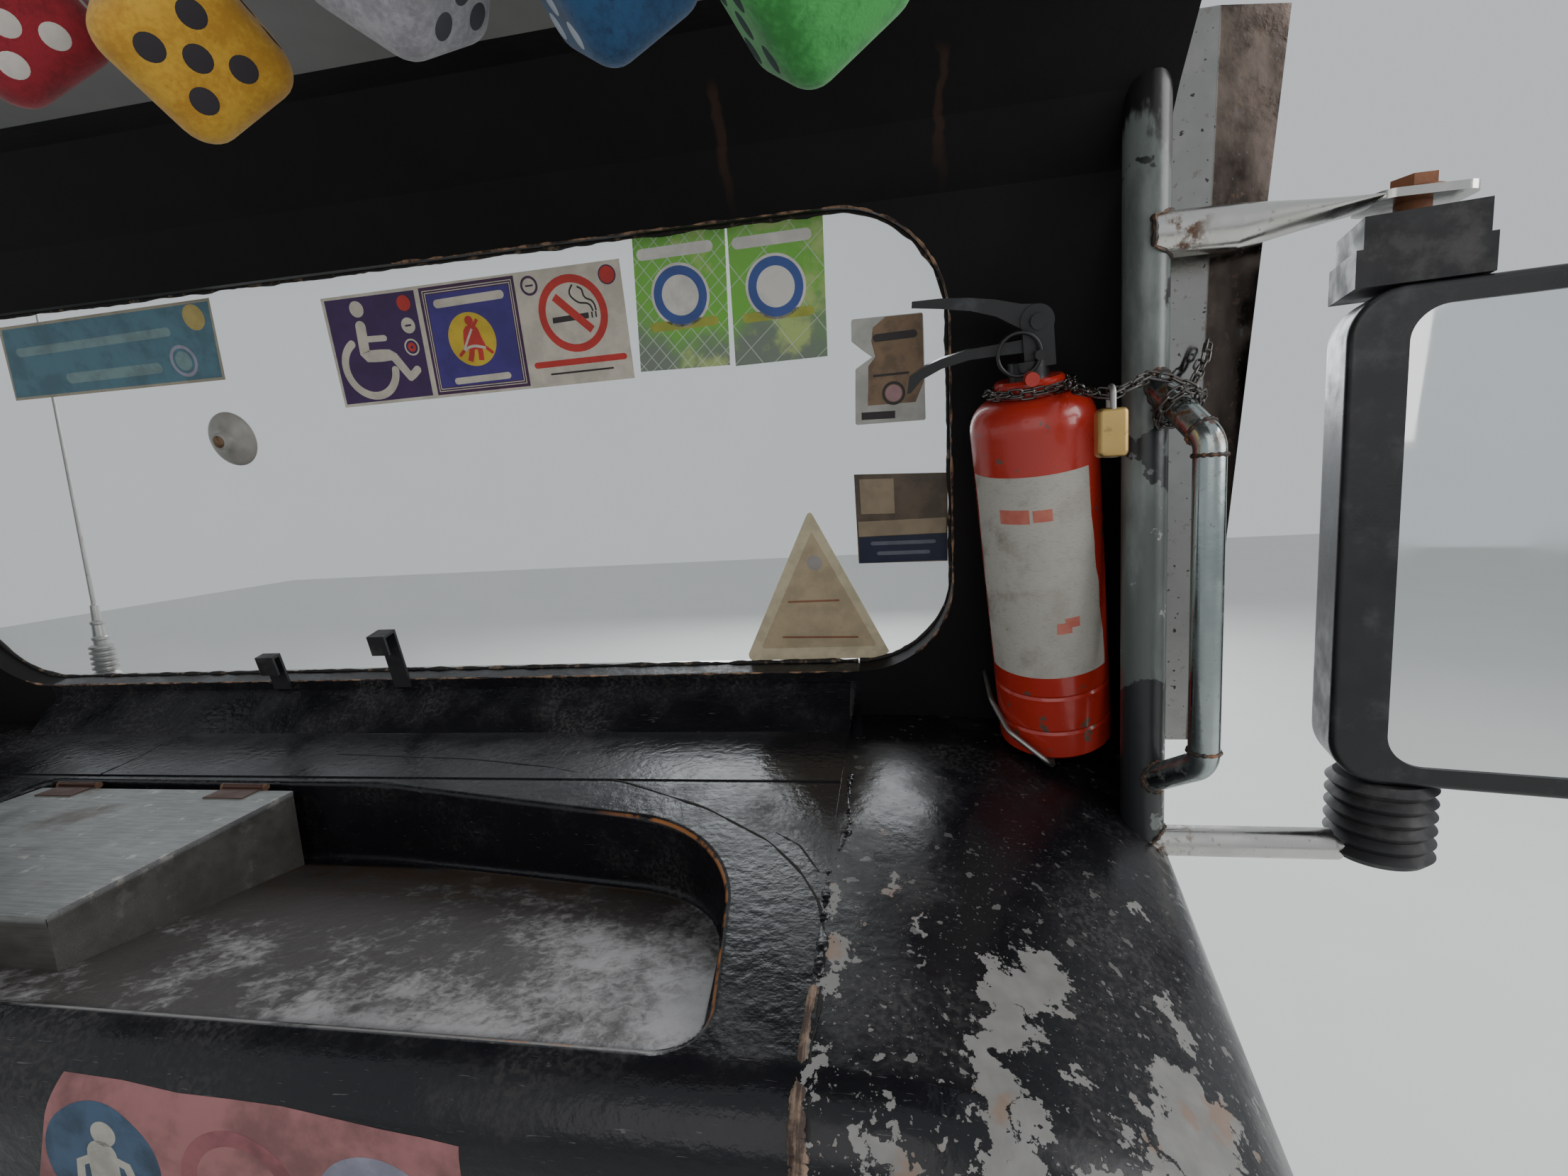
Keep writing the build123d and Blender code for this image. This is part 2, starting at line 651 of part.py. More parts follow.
for word, side in sides:
    with BuildPart() as boots:
        with BuildSketch(Plane.XZ.offset(-post_y)):
            with BuildLine():
                pitch = (boot_high - boot_low) / boot_rings
                outline = [(post_x + post_r, boot_low)]
                for i in range(boot_rings):
                    z = boot_low + i * pitch
                    outline += [(post_x + boot_r - 5, z), (post_x + boot_r, z + pitch / 2)]
                outline += [(post_x + boot_r - 5, boot_high), (post_x + post_r, boot_high)]
                Polyline(*outline, close=True)
            make_face()
        revolve(axis=Axis((post_x, post_y, 0), (0, 0, 1)))
        boots_lower = boots.part
        with BuildSketch(mirror_plane.offset(-35)):
            with Locations((0, mirror_high + gap_at_rod + 13 - mirror_plane.origin.Z)):
                Rectangle(78, 26)
            with Locations((0, mirror_high + gap_at_rod + 37 - mirror_plane.origin.Z)):
                Rectangle(70, 22)
        extrude(amount=62)
        with Locations((post_x, post_y, 900)):
            Cylinder(post_r, 700, mode=Mode.SUBTRACT)
    boot_shape = boots.part
    on_side(boots, side)
    finish(boots, f"mirror_boots_{word}")

    with BuildPart() as arms:
        with BuildSketch(Plane.YZ.offset(pillar_x)):
            with Locations((post_y, arm_levels[0])):
                Circle(arm_r)
        extrude(amount=60)
        with BuildSketch(Plane.YZ.offset(pillar_x + 60)):
            with Locations((post_y, arm_levels[0])):
                Circle(arm_r)
        with BuildSketch(Plane.YZ.offset(post_x - 30)):
            with Locations((post_y, blade_z)):
                Ellipse(blade_width / 2, blade_thickness / 2)
        loft()
        with BuildSketch(Plane.XY.offset(blade_z - blade_thickness / 2)):
            with Locations((post_x, post_y)):
                RectangleRounded(66, blade_width, 12)
        extrude(amount=blade_thickness)
        with BuildSketch(Plane.YZ.offset(pillar_x)):
            with Locations((post_y, arm_levels[1])):
                Circle(lower_arm_r)
        extrude(amount=post_x - pillar_x)
        for x, r in ((pillar_x, pillar_r), (post_x, post_r)):
            with Locations((x, pillar_y if x == pillar_x else post_y, 900)):
                Cylinder(r, 900, mode=Mode.SUBTRACT)
        add(boot_shape, mode=Mode.SUBTRACT)
        with Locations((post_x, post_y, arm_levels[1])):
            Cylinder(boot_r - 4, 60, mode=Mode.SUBTRACT)
        add(side_outer, mode=Mode.SUBTRACT)
    on_side(arms, side)
    finish(arms, f"mirror_arms_{word}")

    with BuildPart() as mirror_post:
        with Locations((post_x, post_y, boot_low)):
            Cylinder(post_r, blade_z + 6 - boot_low, align=(Align.CENTER, Align.CENTER, Align.MIN))
        with BuildSketch(Plane.XY.offset(blade_z + blade_thickness / 2)):
            with Locations((post_x, post_y)):
                Circle(19)
        extrude(amount=2)
        with BuildSketch(Plane.XY.offset(blade_z + blade_thickness / 2 + 2)):
            with Locations((post_x, post_y)):
                RegularPolygon(15, 6)
        extrude(amount=9)
    on_side(mirror_post, side)
    finish(mirror_post, f"mirror_post_{word}")

    with BuildPart() as housing:
        with BuildSketch(mirror_plane.offset(housing_rear)):
            with Locations((housing_mid, 0)):
                RectangleRounded(housing_width, housing_height, housing_radius)
        extrude(amount=-housing_depth)
        fillet(housing.faces().sort_by(Axis(mirror_plane.origin, mirror_plane.z_dir))[0].edges(), 22)
        fillet(housing.faces().sort_by(Axis(mirror_plane.origin, mirror_plane.z_dir))[-1].edges(), 5)
        with BuildSketch(mirror_plane.offset(housing_rear)):
            with Locations((glass_mid, 0)):
                RectangleRounded(glass_width, glass_height, 24)
        extrude(amount=-6, mode=Mode.SUBTRACT)
        with Locations((post_x, post_y, 900)):
            Cylinder(post_r + 0.08, 700, mode=Mode.SUBTRACT)
    on_side(housing, side)
    finish(housing, f"mirror_housing_{word}")

    with BuildPart() as mirror_glass:
        with BuildSketch(mirror_plane.offset(housing_rear - 6)):
            with Locations((glass_mid, 0)):
                RectangleRounded(glass_width, glass_height, 24)
        extrude(amount=4)
    on_side(mirror_glass, side)
    finish(mirror_glass, f"mirror_glass_{word}")

# Fire extinguisher: it leans on the windscreen post, and its foot is swung a little outwards.
# In its plane x runs to the left, y up the bottle's axis and z forward
bottle_x, bottle_foot, bottle_r = 727.0, -264.0, 51.0
bottle_swing = 5.5
bottle_plane = Plane(
    origin=frame_plane.from_local_coords((-bottle_x, bottle_foot, -bottle_r - 1)),
    x_dir=frame_plane.x_dir.rotate(Axis((0, 0, 0), frame_plane.z_dir), -bottle_swing),
    z_dir=frame_plane.z_dir,
)
grooves = [29.4, 65.0]
shoulder_low, shoulder_high = 300.0, 326.0
neck_r, collar_high = 28.0, 339.0


def on_bottle(rise):
    """Plane square to the bottle's axis at that height above its foot."""
    return Plane(
        origin=bottle_plane.from_local_coords((0, rise, 0)),
        x_dir=bottle_plane.x_dir,
        z_dir=bottle_plane.y_dir,
    )


bottle_axis = Axis(bottle_plane.origin, bottle_plane.y_dir)
with BuildPart() as bottle:
    with BuildSketch(bottle_plane):
        with BuildLine():
            outline = [(0, 0), (bottle_r - 4, 0), (bottle_r, 4)]
            for rise in grooves:
                outline += [(bottle_r, rise - 2.5), (bottle_r - 1.4, rise), (bottle_r, rise + 2.5)]
            Polyline(*outline, (bottle_r, shoulder_low))
            EllipticalCenterArc(
                (neck_r, shoulder_low), bottle_r - neck_r, shoulder_high - shoulder_low,
                start_angle=0, arc_size=90,
            )
            Polyline(
                (neck_r, shoulder_high), (neck_r, collar_high - 2), (neck_r - 2, collar_high),
                (0, collar_high), (0, 0),
            )
        make_face()
    revolve(axis=bottle_axis)
    with BuildSketch(bottle_plane.offset(-neck_r + 6)):
        with Locations((2.5, collar_high + 2)):
            Circle(5.5)
    extrude(amount=-12)
finish(bottle, "extinguisher_cylinder")

# Valve: body with a round pivot cheek, carrying lever above, squeeze lever below, ring of the pin
pivot = (-8.0, 382.0)
pivot_r = 13.0
ring_place, ring_r, ring_wire = (8.5, 360.0), 16.5, 1.5
upper_lever = [
    (-8, 395), (3, 397), (22, 404), (41, 409), (64, 413), (86, 415),
    (87, 410), (64, 405), (41, 399), (22, 391), (4, 378), (-8, 372),
]
lower_lever = [
    (-6, 370), (22, 370), (46, 370), (68, 367), (83, 363), (95, 357),
    (99, 344), (96, 344), (86, 353), (69, 359), (46, 362), (22, 361), (-6, 359),
]
with BuildPart() as valve:
    with BuildSketch(on_bottle(collar_high)):
        Circle(16)
    extrude(amount=14)
    with BuildSketch(bottle_plane.offset(11)):
        with Locations((-8, 364)):
            Rectangle(24, 34)
        with Locations(pivot):
            Circle(pivot_r)
    extrude(amount=-22)
    with BuildSketch(bottle_plane.offset(15)):
        with Locations(pivot):
            Circle(6)
    extrude(amount=-30)
    with BuildSketch(bottle_plane.offset(9)):
        Polygon(*upper_lever, align=None)
    extrude(amount=-18)
    with BuildSketch(bottle_plane.offset(7)):
        Polygon(*lower_lever, align=None)
    extrude(amount=-14)
    with BuildSketch(Plane(
        origin=bottle_plane.from_local_coords((*ring_place, -18)),
        x_dir=bottle_plane.x_dir,
        z_dir=bottle_plane.y_dir,
    )):
        with Locations((ring_r, 0)):
            Circle(ring_wire)
    revolve(axis=Axis(bottle_plane.from_local_coords((*ring_place, -18)), bottle_plane.z_dir))
    with BuildSketch(bottle_plane.offset(-10)):
        with Locations((-7, 357)):
            Circle(4)
    extrude(amount=-10)
finish(valve, "extinguisher_valve")

# Wire cradle from the post round the bottle's left side and under its foot
cradle_r = 2.5
cradle_route = [
    (57, 44, 58), (57, 40, 2), (47, 28, -38), (18, 8, -61), (12, -4.0, -50), (6, -2.5, 20), (4, -2.5, 58),
]
with BuildPart() as cradle:
    with BuildLine() as wire:
        FilletPolyline(
            *[bottle_plane.from_local_coords(place) for place in cradle_route],
            radius=[24, 16, 8, 6, 30],
        )
    with BuildSketch(Plane(origin=wire.line @ 0, z_dir=wire.line % 0)):
        Circle(cradle_r)
    sweep()
    split(bisect_by=frame_plane, keep=Keep.BOTTOM)
finish(cradle, "extinguisher_cradle")

# Security chain: a ring of links round the valve's neck, a span to the grab handle and a ring there
link_pitch, link_length, link_width, link_wire = 9.0, 12.8, 7.4, 1.8


def link_ring(centre, normal, start, radius):
    """Places of the links round a circle: their centres and the directions along the chain."""
    plane = Plane(origin=centre, x_dir=start, z_dir=normal)
    count = round(2 * 3.14159 * radius / link_pitch)
    places = []
    for i in range(count):
        turn = radians(360 * i / count)
        point = plane.from_local_coords((radius * cos(turn), radius * sin(turn), 0))
        along = plane.from_local_coords((-sin(turn), cos(turn), 0)) - plane.origin
        places.append((point, along))
    return places


def link_span(points):
    """Places of the links along straight runs between the points."""
    places = []
    carry = 0.0
    for first, last in zip(points, points[1:]):
        run = Vector(*last) - Vector(*first)
        along = run.normalized()
        distance = carry
        while distance < run.length:
            places.append((Vector(*first) + along * distance, along))
            distance += link_pitch
        carry = distance - run.length
    return places


neck_ring = on_bottle(331)
handle_along = (27, -55, -57)
chain_places = (
    link_ring(neck_ring.origin, neck_ring.z_dir, neck_ring.x_dir, 33)
    + link_span([
        (720, -238, 1028), (722, -262, 1022), (730, -281, 1016), (739.5, -288, 1013.5), (754, -283, 1019),
        (772, -270, 1026), (788, -268, 1022), (799, -272, 1014),
    ])
    + link_ring((794.8, -260.1, 1002.8), handle_along, (1, 0, 0.4737), 16)
)
half_length, half_link = link_length / 2, link_width / 2
link_outer = [(half_length, 1.6), (half_length - 2.2, half_link), (2.2 - half_length, half_link),
              (-half_length, 1.6), (-half_length, -1.6), (2.2 - half_length, -half_link),
              (half_length - 2.2, -half_link), (half_length, -1.6)]
link_inner = [(x * 0.68, y * 0.5) for x, y in link_outer]
with BuildPart() as chain:
    for i, (point, along) in enumerate(chain_places):
        square = along.cross(Vector(0.2, 0.3, 1)).rotate(Axis((0, 0, 0), along), 45 if i % 2 else -45)
        flat = Plane(origin=point, x_dir=along, z_dir=square)
        with BuildSketch(flat.offset(-link_wire / 2)):
            Polygon(*link_outer, align=None)
            Polygon(*link_inner, align=None, mode=Mode.SUBTRACT)
        extrude(amount=link_wire)
finish(chain, "lock_chain")

# Padlock whose shackle goes round the chain
lock_x, lock_y, lock_z = 739.5, -288.0, 986.5
lock_size = (21.0, 17.0, 35.0)
shackle_r, shackle_wire = 5.5, 2.2
with BuildPart() as padlock:
    with Locations((lock_x, lock_y, lock_z)):
        Box(*lock_size)
    fillet(padlock.edges(), 2)
    with BuildLine() as bow:
        Line((lock_x, lock_y - shackle_r, lock_z + 12), (lock_x, lock_y - shackle_r, lock_z + 27))
        ThreePointArc(
            (lock_x, lock_y - shackle_r, lock_z + 27),
            (lock_x, lock_y, lock_z + 27 + shackle_r),
            (lock_x, lock_y + shackle_r, lock_z + 27),
        )
        Line((lock_x, lock_y + shackle_r, lock_z + 27), (lock_x, lock_y + shackle_r, lock_z + 12))
    with BuildSketch(Plane(origin=bow.line @ 0, z_dir=bow.line % 0)):
        Circle(shackle_wire)
    sweep()
finish(padlock, "padlock")

# Dice that hang corner-down from the ceiling on wires: place along X and Y, level of the lowest
# point, and turn about the upright
dice_edge, dice_round = 56.0, 10.0
dice_places = [
    (206, -560, 1150, 20), (292, -552, 1127, -12), (405, -568, 1136, 35), (480, -546, 1134, 8),
    (563, -574, 1100, 50),
]
dice_rise = (dice_edge / 2 - dice_round) * sqrt(3) + dice_round
corner_down = Location((0, 0, 0), (54.7356, 0, 45))
with BuildPart() as die:
    Box(dice_edge, dice_edge, dice_edge)
    fillet(die.edges(), dice_round)
with BuildPart() as dice:
    for x, y, tip, turn in dice_places:
        with Locations(Location((x, y, tip + dice_rise), (0, 0, turn)) * corner_down):
            add(die.part)
finish(dice, "dice")

wire_r = 0.9
with BuildPart() as dice_wires:
    for x, y, tip, turn in dice_places:
        top = tip + 2 * dice_rise
        with BuildSketch(Plane.XY.offset(top)):
            with Locations((x, y)):
                RegularPolygon(wire_r, 6)
        extrude(amount=ceiling_level - top)
finish(dice_wires, "dice_wires")

# Whip aerial on the scuttle: dome, spring, ringed ferrule and tapering rod
aerial_x, aerial_y = -625.0, 34.0
cowl_surface = cowl_level + sheet
spring_low, spring_high, spring_pitch = 12.0, 52.0, 8.0
with BuildPart() as aerial:
    with BuildSketch(Plane.XZ.offset(-aerial_y)):
        with BuildLine():
            outline = [(0, 0), (20, 0), (19, 6), (12, spring_low)]
            turns = round((spring_high - spring_low) / spring_pitch)
            for i in range(turns):
                z = spring_low + i * spring_pitch
                outline += [(12, z + 0.5), (16, z + 2.5), (16, z + 5.5), (12, z + 7.5)]
            outline += [(9, spring_high), (9, 58), (10.5, 60), (10.5, 63), (8.5, 65), (7.5, 82)]
            outline += [(9, 84), (9, 87), (6, 89), (5, 112), (3, 114), (1.5, 552), (0, 552)]
            Polyline(*[(aerial_x + r, cowl_surface + z) for r, z in outline], close=True)
        make_face()
    revolve(axis=Axis((aerial_x, aerial_y, 0), (0, 0, 1)))
finish(aerial, "aerial")

# Clips for a route sign, bent over the windscreen's lower rail: place along X, width, height, hook
clips = [(-180.0, 24.0, 45.0, 10.0), (-13.0, 22.0, 72.0, 18.0)]
clip_foot = -opening_half_height - 9
with BuildPart() as sign_clips:
    for x, width, height, hook in clips:
        with BuildSketch(frame_plane):
            with Locations((-x, clip_foot + height / 2)):
                Rectangle(width, height)
        extrude(amount=-3)
        with BuildSketch(frame_plane):
            with Locations((-x, clip_foot + height + 1.5)):
                Rectangle(width, 3)
        extrude(amount=-hook - 3)
        with BuildSketch(frame_plane.offset(-hook)):
            with Locations((-x, clip_foot + height - 9)):
                Rectangle(width, 24)
        extrude(amount=-3)
finish(sign_clips, "sign_clips")

# Suction cup with its screw on the glass, left behind by a sign
cup_x, cup_rise, cup_r = -151.6, 70.9, 30.0
with BuildPart() as cup:
    with BuildSketch(Plane.XZ):
        with BuildLine():
            Polyline((0, 0), (cup_r, 0), (cup_r - 1, 2), (18, 6), (9, 14), (9, 20), (0, 20), close=True)
        make_face()
    revolve(axis=Axis.Z)
with BuildPart() as suction_cup:
    add(cup.part.locate(Plane(
        origin=front_plane.from_local_coords((-cup_x, cup_rise, 0)),
        z_dir=(0, -front_plane.z_dir.Y, -front_plane.z_dir.Z),
    ).location))
finish(suction_cup, "suction_cup")
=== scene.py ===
# %% [markdown]
# # The front of a jeepney's cab
# The CAD model is the frame: every sheet, pillar and tube already stands where it belongs.
# Here the pieces get their finishes, and the small or soft-edged ones are made anew as
# surfaces: dice, stickers, the bottle's label, chain, padlock, welds and sealant.

import functools
import math
import operator

import bmesh
import bpy
import numpy as np
from mathutils import Matrix, Vector


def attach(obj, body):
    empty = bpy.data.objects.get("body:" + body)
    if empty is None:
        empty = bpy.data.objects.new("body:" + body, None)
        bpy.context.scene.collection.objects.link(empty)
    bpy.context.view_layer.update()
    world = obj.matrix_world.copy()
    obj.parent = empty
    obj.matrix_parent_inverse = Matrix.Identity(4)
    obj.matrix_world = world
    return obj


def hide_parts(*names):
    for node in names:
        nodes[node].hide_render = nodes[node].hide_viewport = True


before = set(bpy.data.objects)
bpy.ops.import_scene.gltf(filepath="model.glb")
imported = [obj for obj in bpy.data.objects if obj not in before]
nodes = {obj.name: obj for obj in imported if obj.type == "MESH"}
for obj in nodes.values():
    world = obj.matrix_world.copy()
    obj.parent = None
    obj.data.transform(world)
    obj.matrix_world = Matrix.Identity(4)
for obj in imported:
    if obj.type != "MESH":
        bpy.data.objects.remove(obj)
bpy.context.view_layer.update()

# %% [markdown]
# ## Camera
# The picture was taken from the front seat with a wide lens. The camera's three axes were
# solved from the vanishing lines of the dash and the windscreen, so they are written out.

# %% Camera
view_right = (0.98471, 0.16312, -0.06122)
view_up = (0.03732, 0.14574, 0.98862)
view_back = (0.17018, -0.97578, 0.13742)
eye = (0.590, -0.850, 0.961)
focal_pixels, photo_width = 1010.0, 2212.0
lens_data = bpy.data.cameras.new("photo_camera")
lens_data.sensor_width = 36.0
lens_data.lens = lens_data.sensor_width * focal_pixels / photo_width
lens_data.clip_start = 0.02
camera = bpy.data.objects.new("photo_camera", lens_data)
bpy.context.collection.objects.link(camera)
turned = Matrix((view_right, view_up, view_back)).transposed().to_4x4()
camera.matrix_world = Matrix.Translation(eye) @ turned
bpy.context.scene.camera = camera
print("lens", round(lens_data.lens, 2), "mm")

# %% [markdown]
# ## Helpers for surfaces
# A surface is a grid of points: rows along one parameter, columns along the other. One helper
# turns any number of grids into one mesh. Where rows shrink to a point, the doubles are merged,
# so that poles are closed, and then the normals are turned outwards.


# %% From grids to a mesh
def grid_faces(rows, columns, wrap_rows, wrap_columns):
    """Corner numbers of the quads between neighbouring rows and columns of a grid."""
    r = np.arange(rows if wrap_rows else rows - 1)[:, None]
    c = np.arange(columns if wrap_columns else columns - 1)[None, :]
    r2, c2 = (r + 1) % rows, (c + 1) % columns
    corners = [r * columns + c, r * columns + c2, r2 * columns + c2, r2 * columns + c]
    return np.stack([np.broadcast_to(k, (r.size, c.size)) for k in corners], axis=-1).reshape(-1, 4)


def piece(name, grids, *finishes, stands_for=()):
    """Join grids into one closed mesh object that rides on the cab.

    Each grid is (points, wrap_rows, wrap_columns) or the same with a finish's number added.
    """
    points, faces, numbers, start = [], [], [], 0
    for points_grid, wrap_rows, wrap_columns, *number in grids:
        rows, columns = points_grid.shape[:2]
        quads = grid_faces(rows, columns, wrap_rows, wrap_columns) + start
        points.append(points_grid.reshape(-1, 3))
        faces.append(quads)
        numbers.append(np.full(len(quads), number[0] if number else 0))
        start += rows * columns
    mesh = bpy.data.meshes.new(name)
    mesh.from_pydata(np.concatenate(points).tolist(), [], np.concatenate(faces).tolist())
    mesh.polygons.foreach_set("material_index", np.concatenate(numbers).astype(np.int32))
    joined = bmesh.new()
    joined.from_mesh(mesh)
    bmesh.ops.remove_doubles(joined, verts=joined.verts, dist=1e-7)
    bmesh.ops.dissolve_degenerate(joined, edges=joined.edges, dist=1e-8)
    bmesh.ops.recalc_face_normals(joined, faces=joined.faces)
    joined.to_mesh(mesh)
    joined.free()
    mesh.shade_smooth()
    mesh.set_sharp_from_angle(angle=math.radians(35))
    made = bpy.data.objects.new(name, mesh)
    bpy.context.collection.objects.link(made)
    for finish in finishes:
        mesh.materials.append(finish.material)
    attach(made, "cab_front")
    if stands_for:
        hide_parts(*stands_for)
    print(name, len(mesh.polygons), "faces")


# %% [markdown]
# A tube carries a ring along a path. The ring needs two directions at each point of the path:
# both come from the path's own direction and one fixed reference, which is enough for pieces
# that never point straight along that reference.


# %% Tubes, lathed forms and rounded boxes
def unit(v):
    """Vectors scaled to length one."""
    return v / np.linalg.norm(v, axis=-1, keepdims=True)


def angles(count):
    """That many even angles round a circle."""
    return np.linspace(0, 2 * np.pi, count, endpoint=False)


def ring(u, v, a):
    """Points cos a * u + sin a * v."""
    return np.cos(a)[..., None] * u + np.sin(a)[..., None] * v


def circle(a):
    """Points (cos a, sin a) of the flat circle of radius one."""
    return ring((1, 0), (0, 1), a)


def side_and_top(along, reference):
    """Two directions square to each other and to the direction along."""
    side = unit(np.cross(along, reference))
    return side, np.cross(side, along)


def tube(path, radius, sides=12, reference=(0.0, 0.0, 1.0), flat=1.0):
    """Points path + r (cos a * side + flat * sin a * top), with a point at each end to close it."""
    side, top = side_and_top(unit(np.gradient(path, axis=0)), reference)
    r = np.broadcast_to(radius, (len(path),))
    body = path[:, None] + r[:, None, None] * ring(side[:, None], flat * top[:, None], angles(sides))
    first, last = (np.broadcast_to(path[end], (1, sides, 3)) for end in (0, -1))
    return np.concatenate([first, body, last])


def run_lengths(points):
    """Distance along a polyline from its first point to each of its points."""
    return np.r_[0, np.cumsum(np.linalg.norm(np.diff(points, axis=0), axis=1))]


def at_shares(points, shares):
    """Points of a polyline at the given shares of its length."""
    lengths = run_lengths(points)
    return np.stack([np.interp(shares * lengths[-1], lengths, k) for k in points.T], axis=-1)


def smooth_path(points, count, rounds):
    """A polyline resampled evenly, then averaged with its neighbours a few times."""
    path = at_shares(np.array(points, float), np.linspace(0, 1, count))
    for _ in range(rounds):
        path[1:-1] = (path[:-2] + 2 * path[1:-1] + path[2:]) / 4
    return path


def lathe(profile, centre, axis, sides):
    """Each (r, h) of the profile becomes centre + h * axis + r * (cos a * u + sin a * v)."""
    u = unit(np.cross(axis, (0.3, 0.9, 0.1)))
    r, h = np.array(profile, float).T[..., None, None]
    return centre + h * axis + r * ring(u, np.cross(axis, u), angles(sides))


def rounded_box(half, radius, steps=7):
    """Six grids on a box with rounded edges: a point q of the sharp box is pulled back to the
    inner box (q clamped to half - radius) and pushed out again by radius along what is left."""
    core = np.array(half) - radius
    swell = radius * np.sin(np.linspace(0, np.pi / 2, steps))
    lines = [np.r_[-(k + swell)[::-1], np.linspace(-k, k, 4)[1:-1], k + swell] for k in core]
    grids = []
    for axis in range(3):
        one, two = [k for k in range(3) if k != axis]
        a, b = np.meshgrid(lines[one], lines[two], indexing="ij")
        for sign in (-1, 1):
            q = np.empty(a.shape + (3,))
            q[..., axis], q[..., one], q[..., two] = sign * half[axis], a, b
            inner = np.clip(q, -core, core)
            grids.append(inner + radius * unit(q - inner))
    return grids


# %% [markdown]
# ## Helpers for finishes
# Paint, steel and plastic all start from the same few moves: a noise pattern in Object
# coordinates, a band cut out of it, and two colours mixed by that band. Coordinates are in
# metres, so a noise scale of 100 gives blotches of about a centimetre.


# %% A small recipe book for materials
class Pattern:
    """A value or colour that varies over the surface. Arithmetic on it adds nodes; a | b is the
    larger of the two, which joins masks."""

    def __init__(self, finish, socket):
        self.finish, self.socket = finish, socket

    def calc(self, operation, other=0.0):
        """One sum, product and so on of this and another value."""
        return self.finish.add("ShaderNodeMath", {0: self, 1: other}, operation=operation)

    __add__ = functools.partialmethod(calc, "ADD")
    __sub__ = functools.partialmethod(calc, "SUBTRACT")
    __mul__ = functools.partialmethod(calc, "MULTIPLY")
    __truediv__ = functools.partialmethod(calc, "DIVIDE")
    __or__ = functools.partialmethod(calc, "MAXIMUM")
    __abs__ = functools.partialmethod(calc, "ABSOLUTE")

    def rest(self):
        """What is left of one: 1 minus the value."""
        return self.finish.add("ShaderNodeMath", {0: 1.0, 1: self}, operation="SUBTRACT")

    def fold(self, width):
        """The value folded to and fro between 0 and width, like a zigzag."""
        return self.calc("PINGPONG", width)

    def drift(self, noise, reach):
        """The value pushed about by noise, by up to reach to each side."""
        return self + noise.band(0.3, 0.7, -reach, reach)

    def band(self, low, high, start=0.0, end=1.0):
        """start below low, end above high, and a smooth step between."""
        inputs = {0: self, 1: low, 2: high, 3: start, 4: end}
        return self.finish.add("ShaderNodeMapRange", inputs, interpolation_type="SMOOTHSTEP")

    def below(self, low, high):
        """1 below low, 0 above high."""
        return self.band(low, high, 1.0, 0.0)

    def within(self, low, full, fading, high):
        """1 between full and fading, 0 below low and above high."""
        return self.band(low, full) * self.below(fading, high)

    def mix(self, first, second):
        """first where this share is 0 and second where it is 1."""
        first, second = (c if isinstance(c, Pattern) else (*c, 1.0) for c in (first, second))
        return self.finish.add("ShaderNodeMix", {0: self, 6: first, 7: second}, 2, data_type="RGBA")


class Finish:
    """A material made step by step; most methods add one node and return its pattern."""

    def __init__(self, name, color, roughness, metallic=0.0, **others):
        self.material = bpy.data.materials.new(name)
        self.material.use_nodes = True
        self.tree = self.material.node_tree
        self.shader = self.tree.nodes["Principled BSDF"]
        self.place = self.add("ShaderNodeTexCoord", output="Object")
        self.set("Base Color", (*color, 1.0))
        self.set("Roughness", roughness)
        self.set("Metallic", metallic)
        for socket, value in others.items():
            self.set(socket.replace("_", " "), value)

    def fill(self, socket, value):
        """Put a constant on a socket, or link a pattern to it."""
        if isinstance(value, Pattern):
            self.tree.links.new(value.socket, socket)
        else:
            socket.default_value = value

    def set(self, socket, value):
        """Fill one of the shader's sockets."""
        self.fill(self.shader.inputs[socket], value)

    def paint(self, color):
        """Fill the shader's colour with a pattern."""
        self.set("Base Color", color)

    def now(self, socket):
        """The pattern that is linked to one of the shader's sockets."""
        return Pattern(self, self.shader.inputs[socket].links[0].from_socket)

    def add(self, kind, inputs=(), output=0, **settings):
        """One node with its settings and inputs; returns the pattern of one of its outputs."""
        made = self.tree.nodes.new(kind)
        for key, value in settings.items():
            setattr(made, key, value)
        for key, value in dict(inputs).items():
            self.fill(made.inputs[key], value)
        return Pattern(self, made.outputs[output])

    def stretch(self, scale, shift=(0.0, 0.0, 0.0), turn=(0.0, 0.0, 0.0)):
        """Object coordinates scaled along each axis, for streaks and brushing."""
        inputs = {"Vector": self.place, "Scale": scale, "Location": shift, "Rotation": turn}
        return self.add("ShaderNodeMapping", inputs)

    def noise(self, scale, detail=4.0, roughness=0.55, distortion=0.0, place=None):
        """Cloudy noise from 0 to 1, mostly between 0.3 and 0.7."""
        inputs = {"Vector": place or self.place, "Scale": scale, "Detail": detail}
        inputs |= {"Roughness": roughness, "Distortion": distortion}
        return self.add("ShaderNodeTexNoise", inputs)

    def axes(self, vector=None):
        """x, y and z of the Object coordinates, or of another vector."""
        parts = self.add("ShaderNodeSeparateXYZ", {0: vector or self.place}).socket.node.outputs
        return [Pattern(self, part) for part in parts]

    def bump(self, height, distance, strength=1.0):
        """Fine relief of that many metres."""
        inputs = {"Height": height, "Distance": distance, "Strength": strength}
        self.set("Normal", self.add("ShaderNodeBump", inputs))


def cloudy(name, color, roughness, grain, tones, cut=None, relief=None, **others):
    """A finish whose colour drifts between two tones.

    grain is the noise's scale, detail and roughness, cut the band that makes it crisper, and
    relief the scale, distance and strength of the bumps.
    """
    f = Finish(name, color, roughness, **others)
    share = f.noise(*grain)
    f.paint((share.band(*cut) if cut else share).mix(*tones))
    if relief:
        scale, distance, strength = relief
        f.bump(f.noise(scale), distance, strength)
    return f


def times(color, share):
    """A colour made darker or paler."""
    return tuple(c * share for c in color)


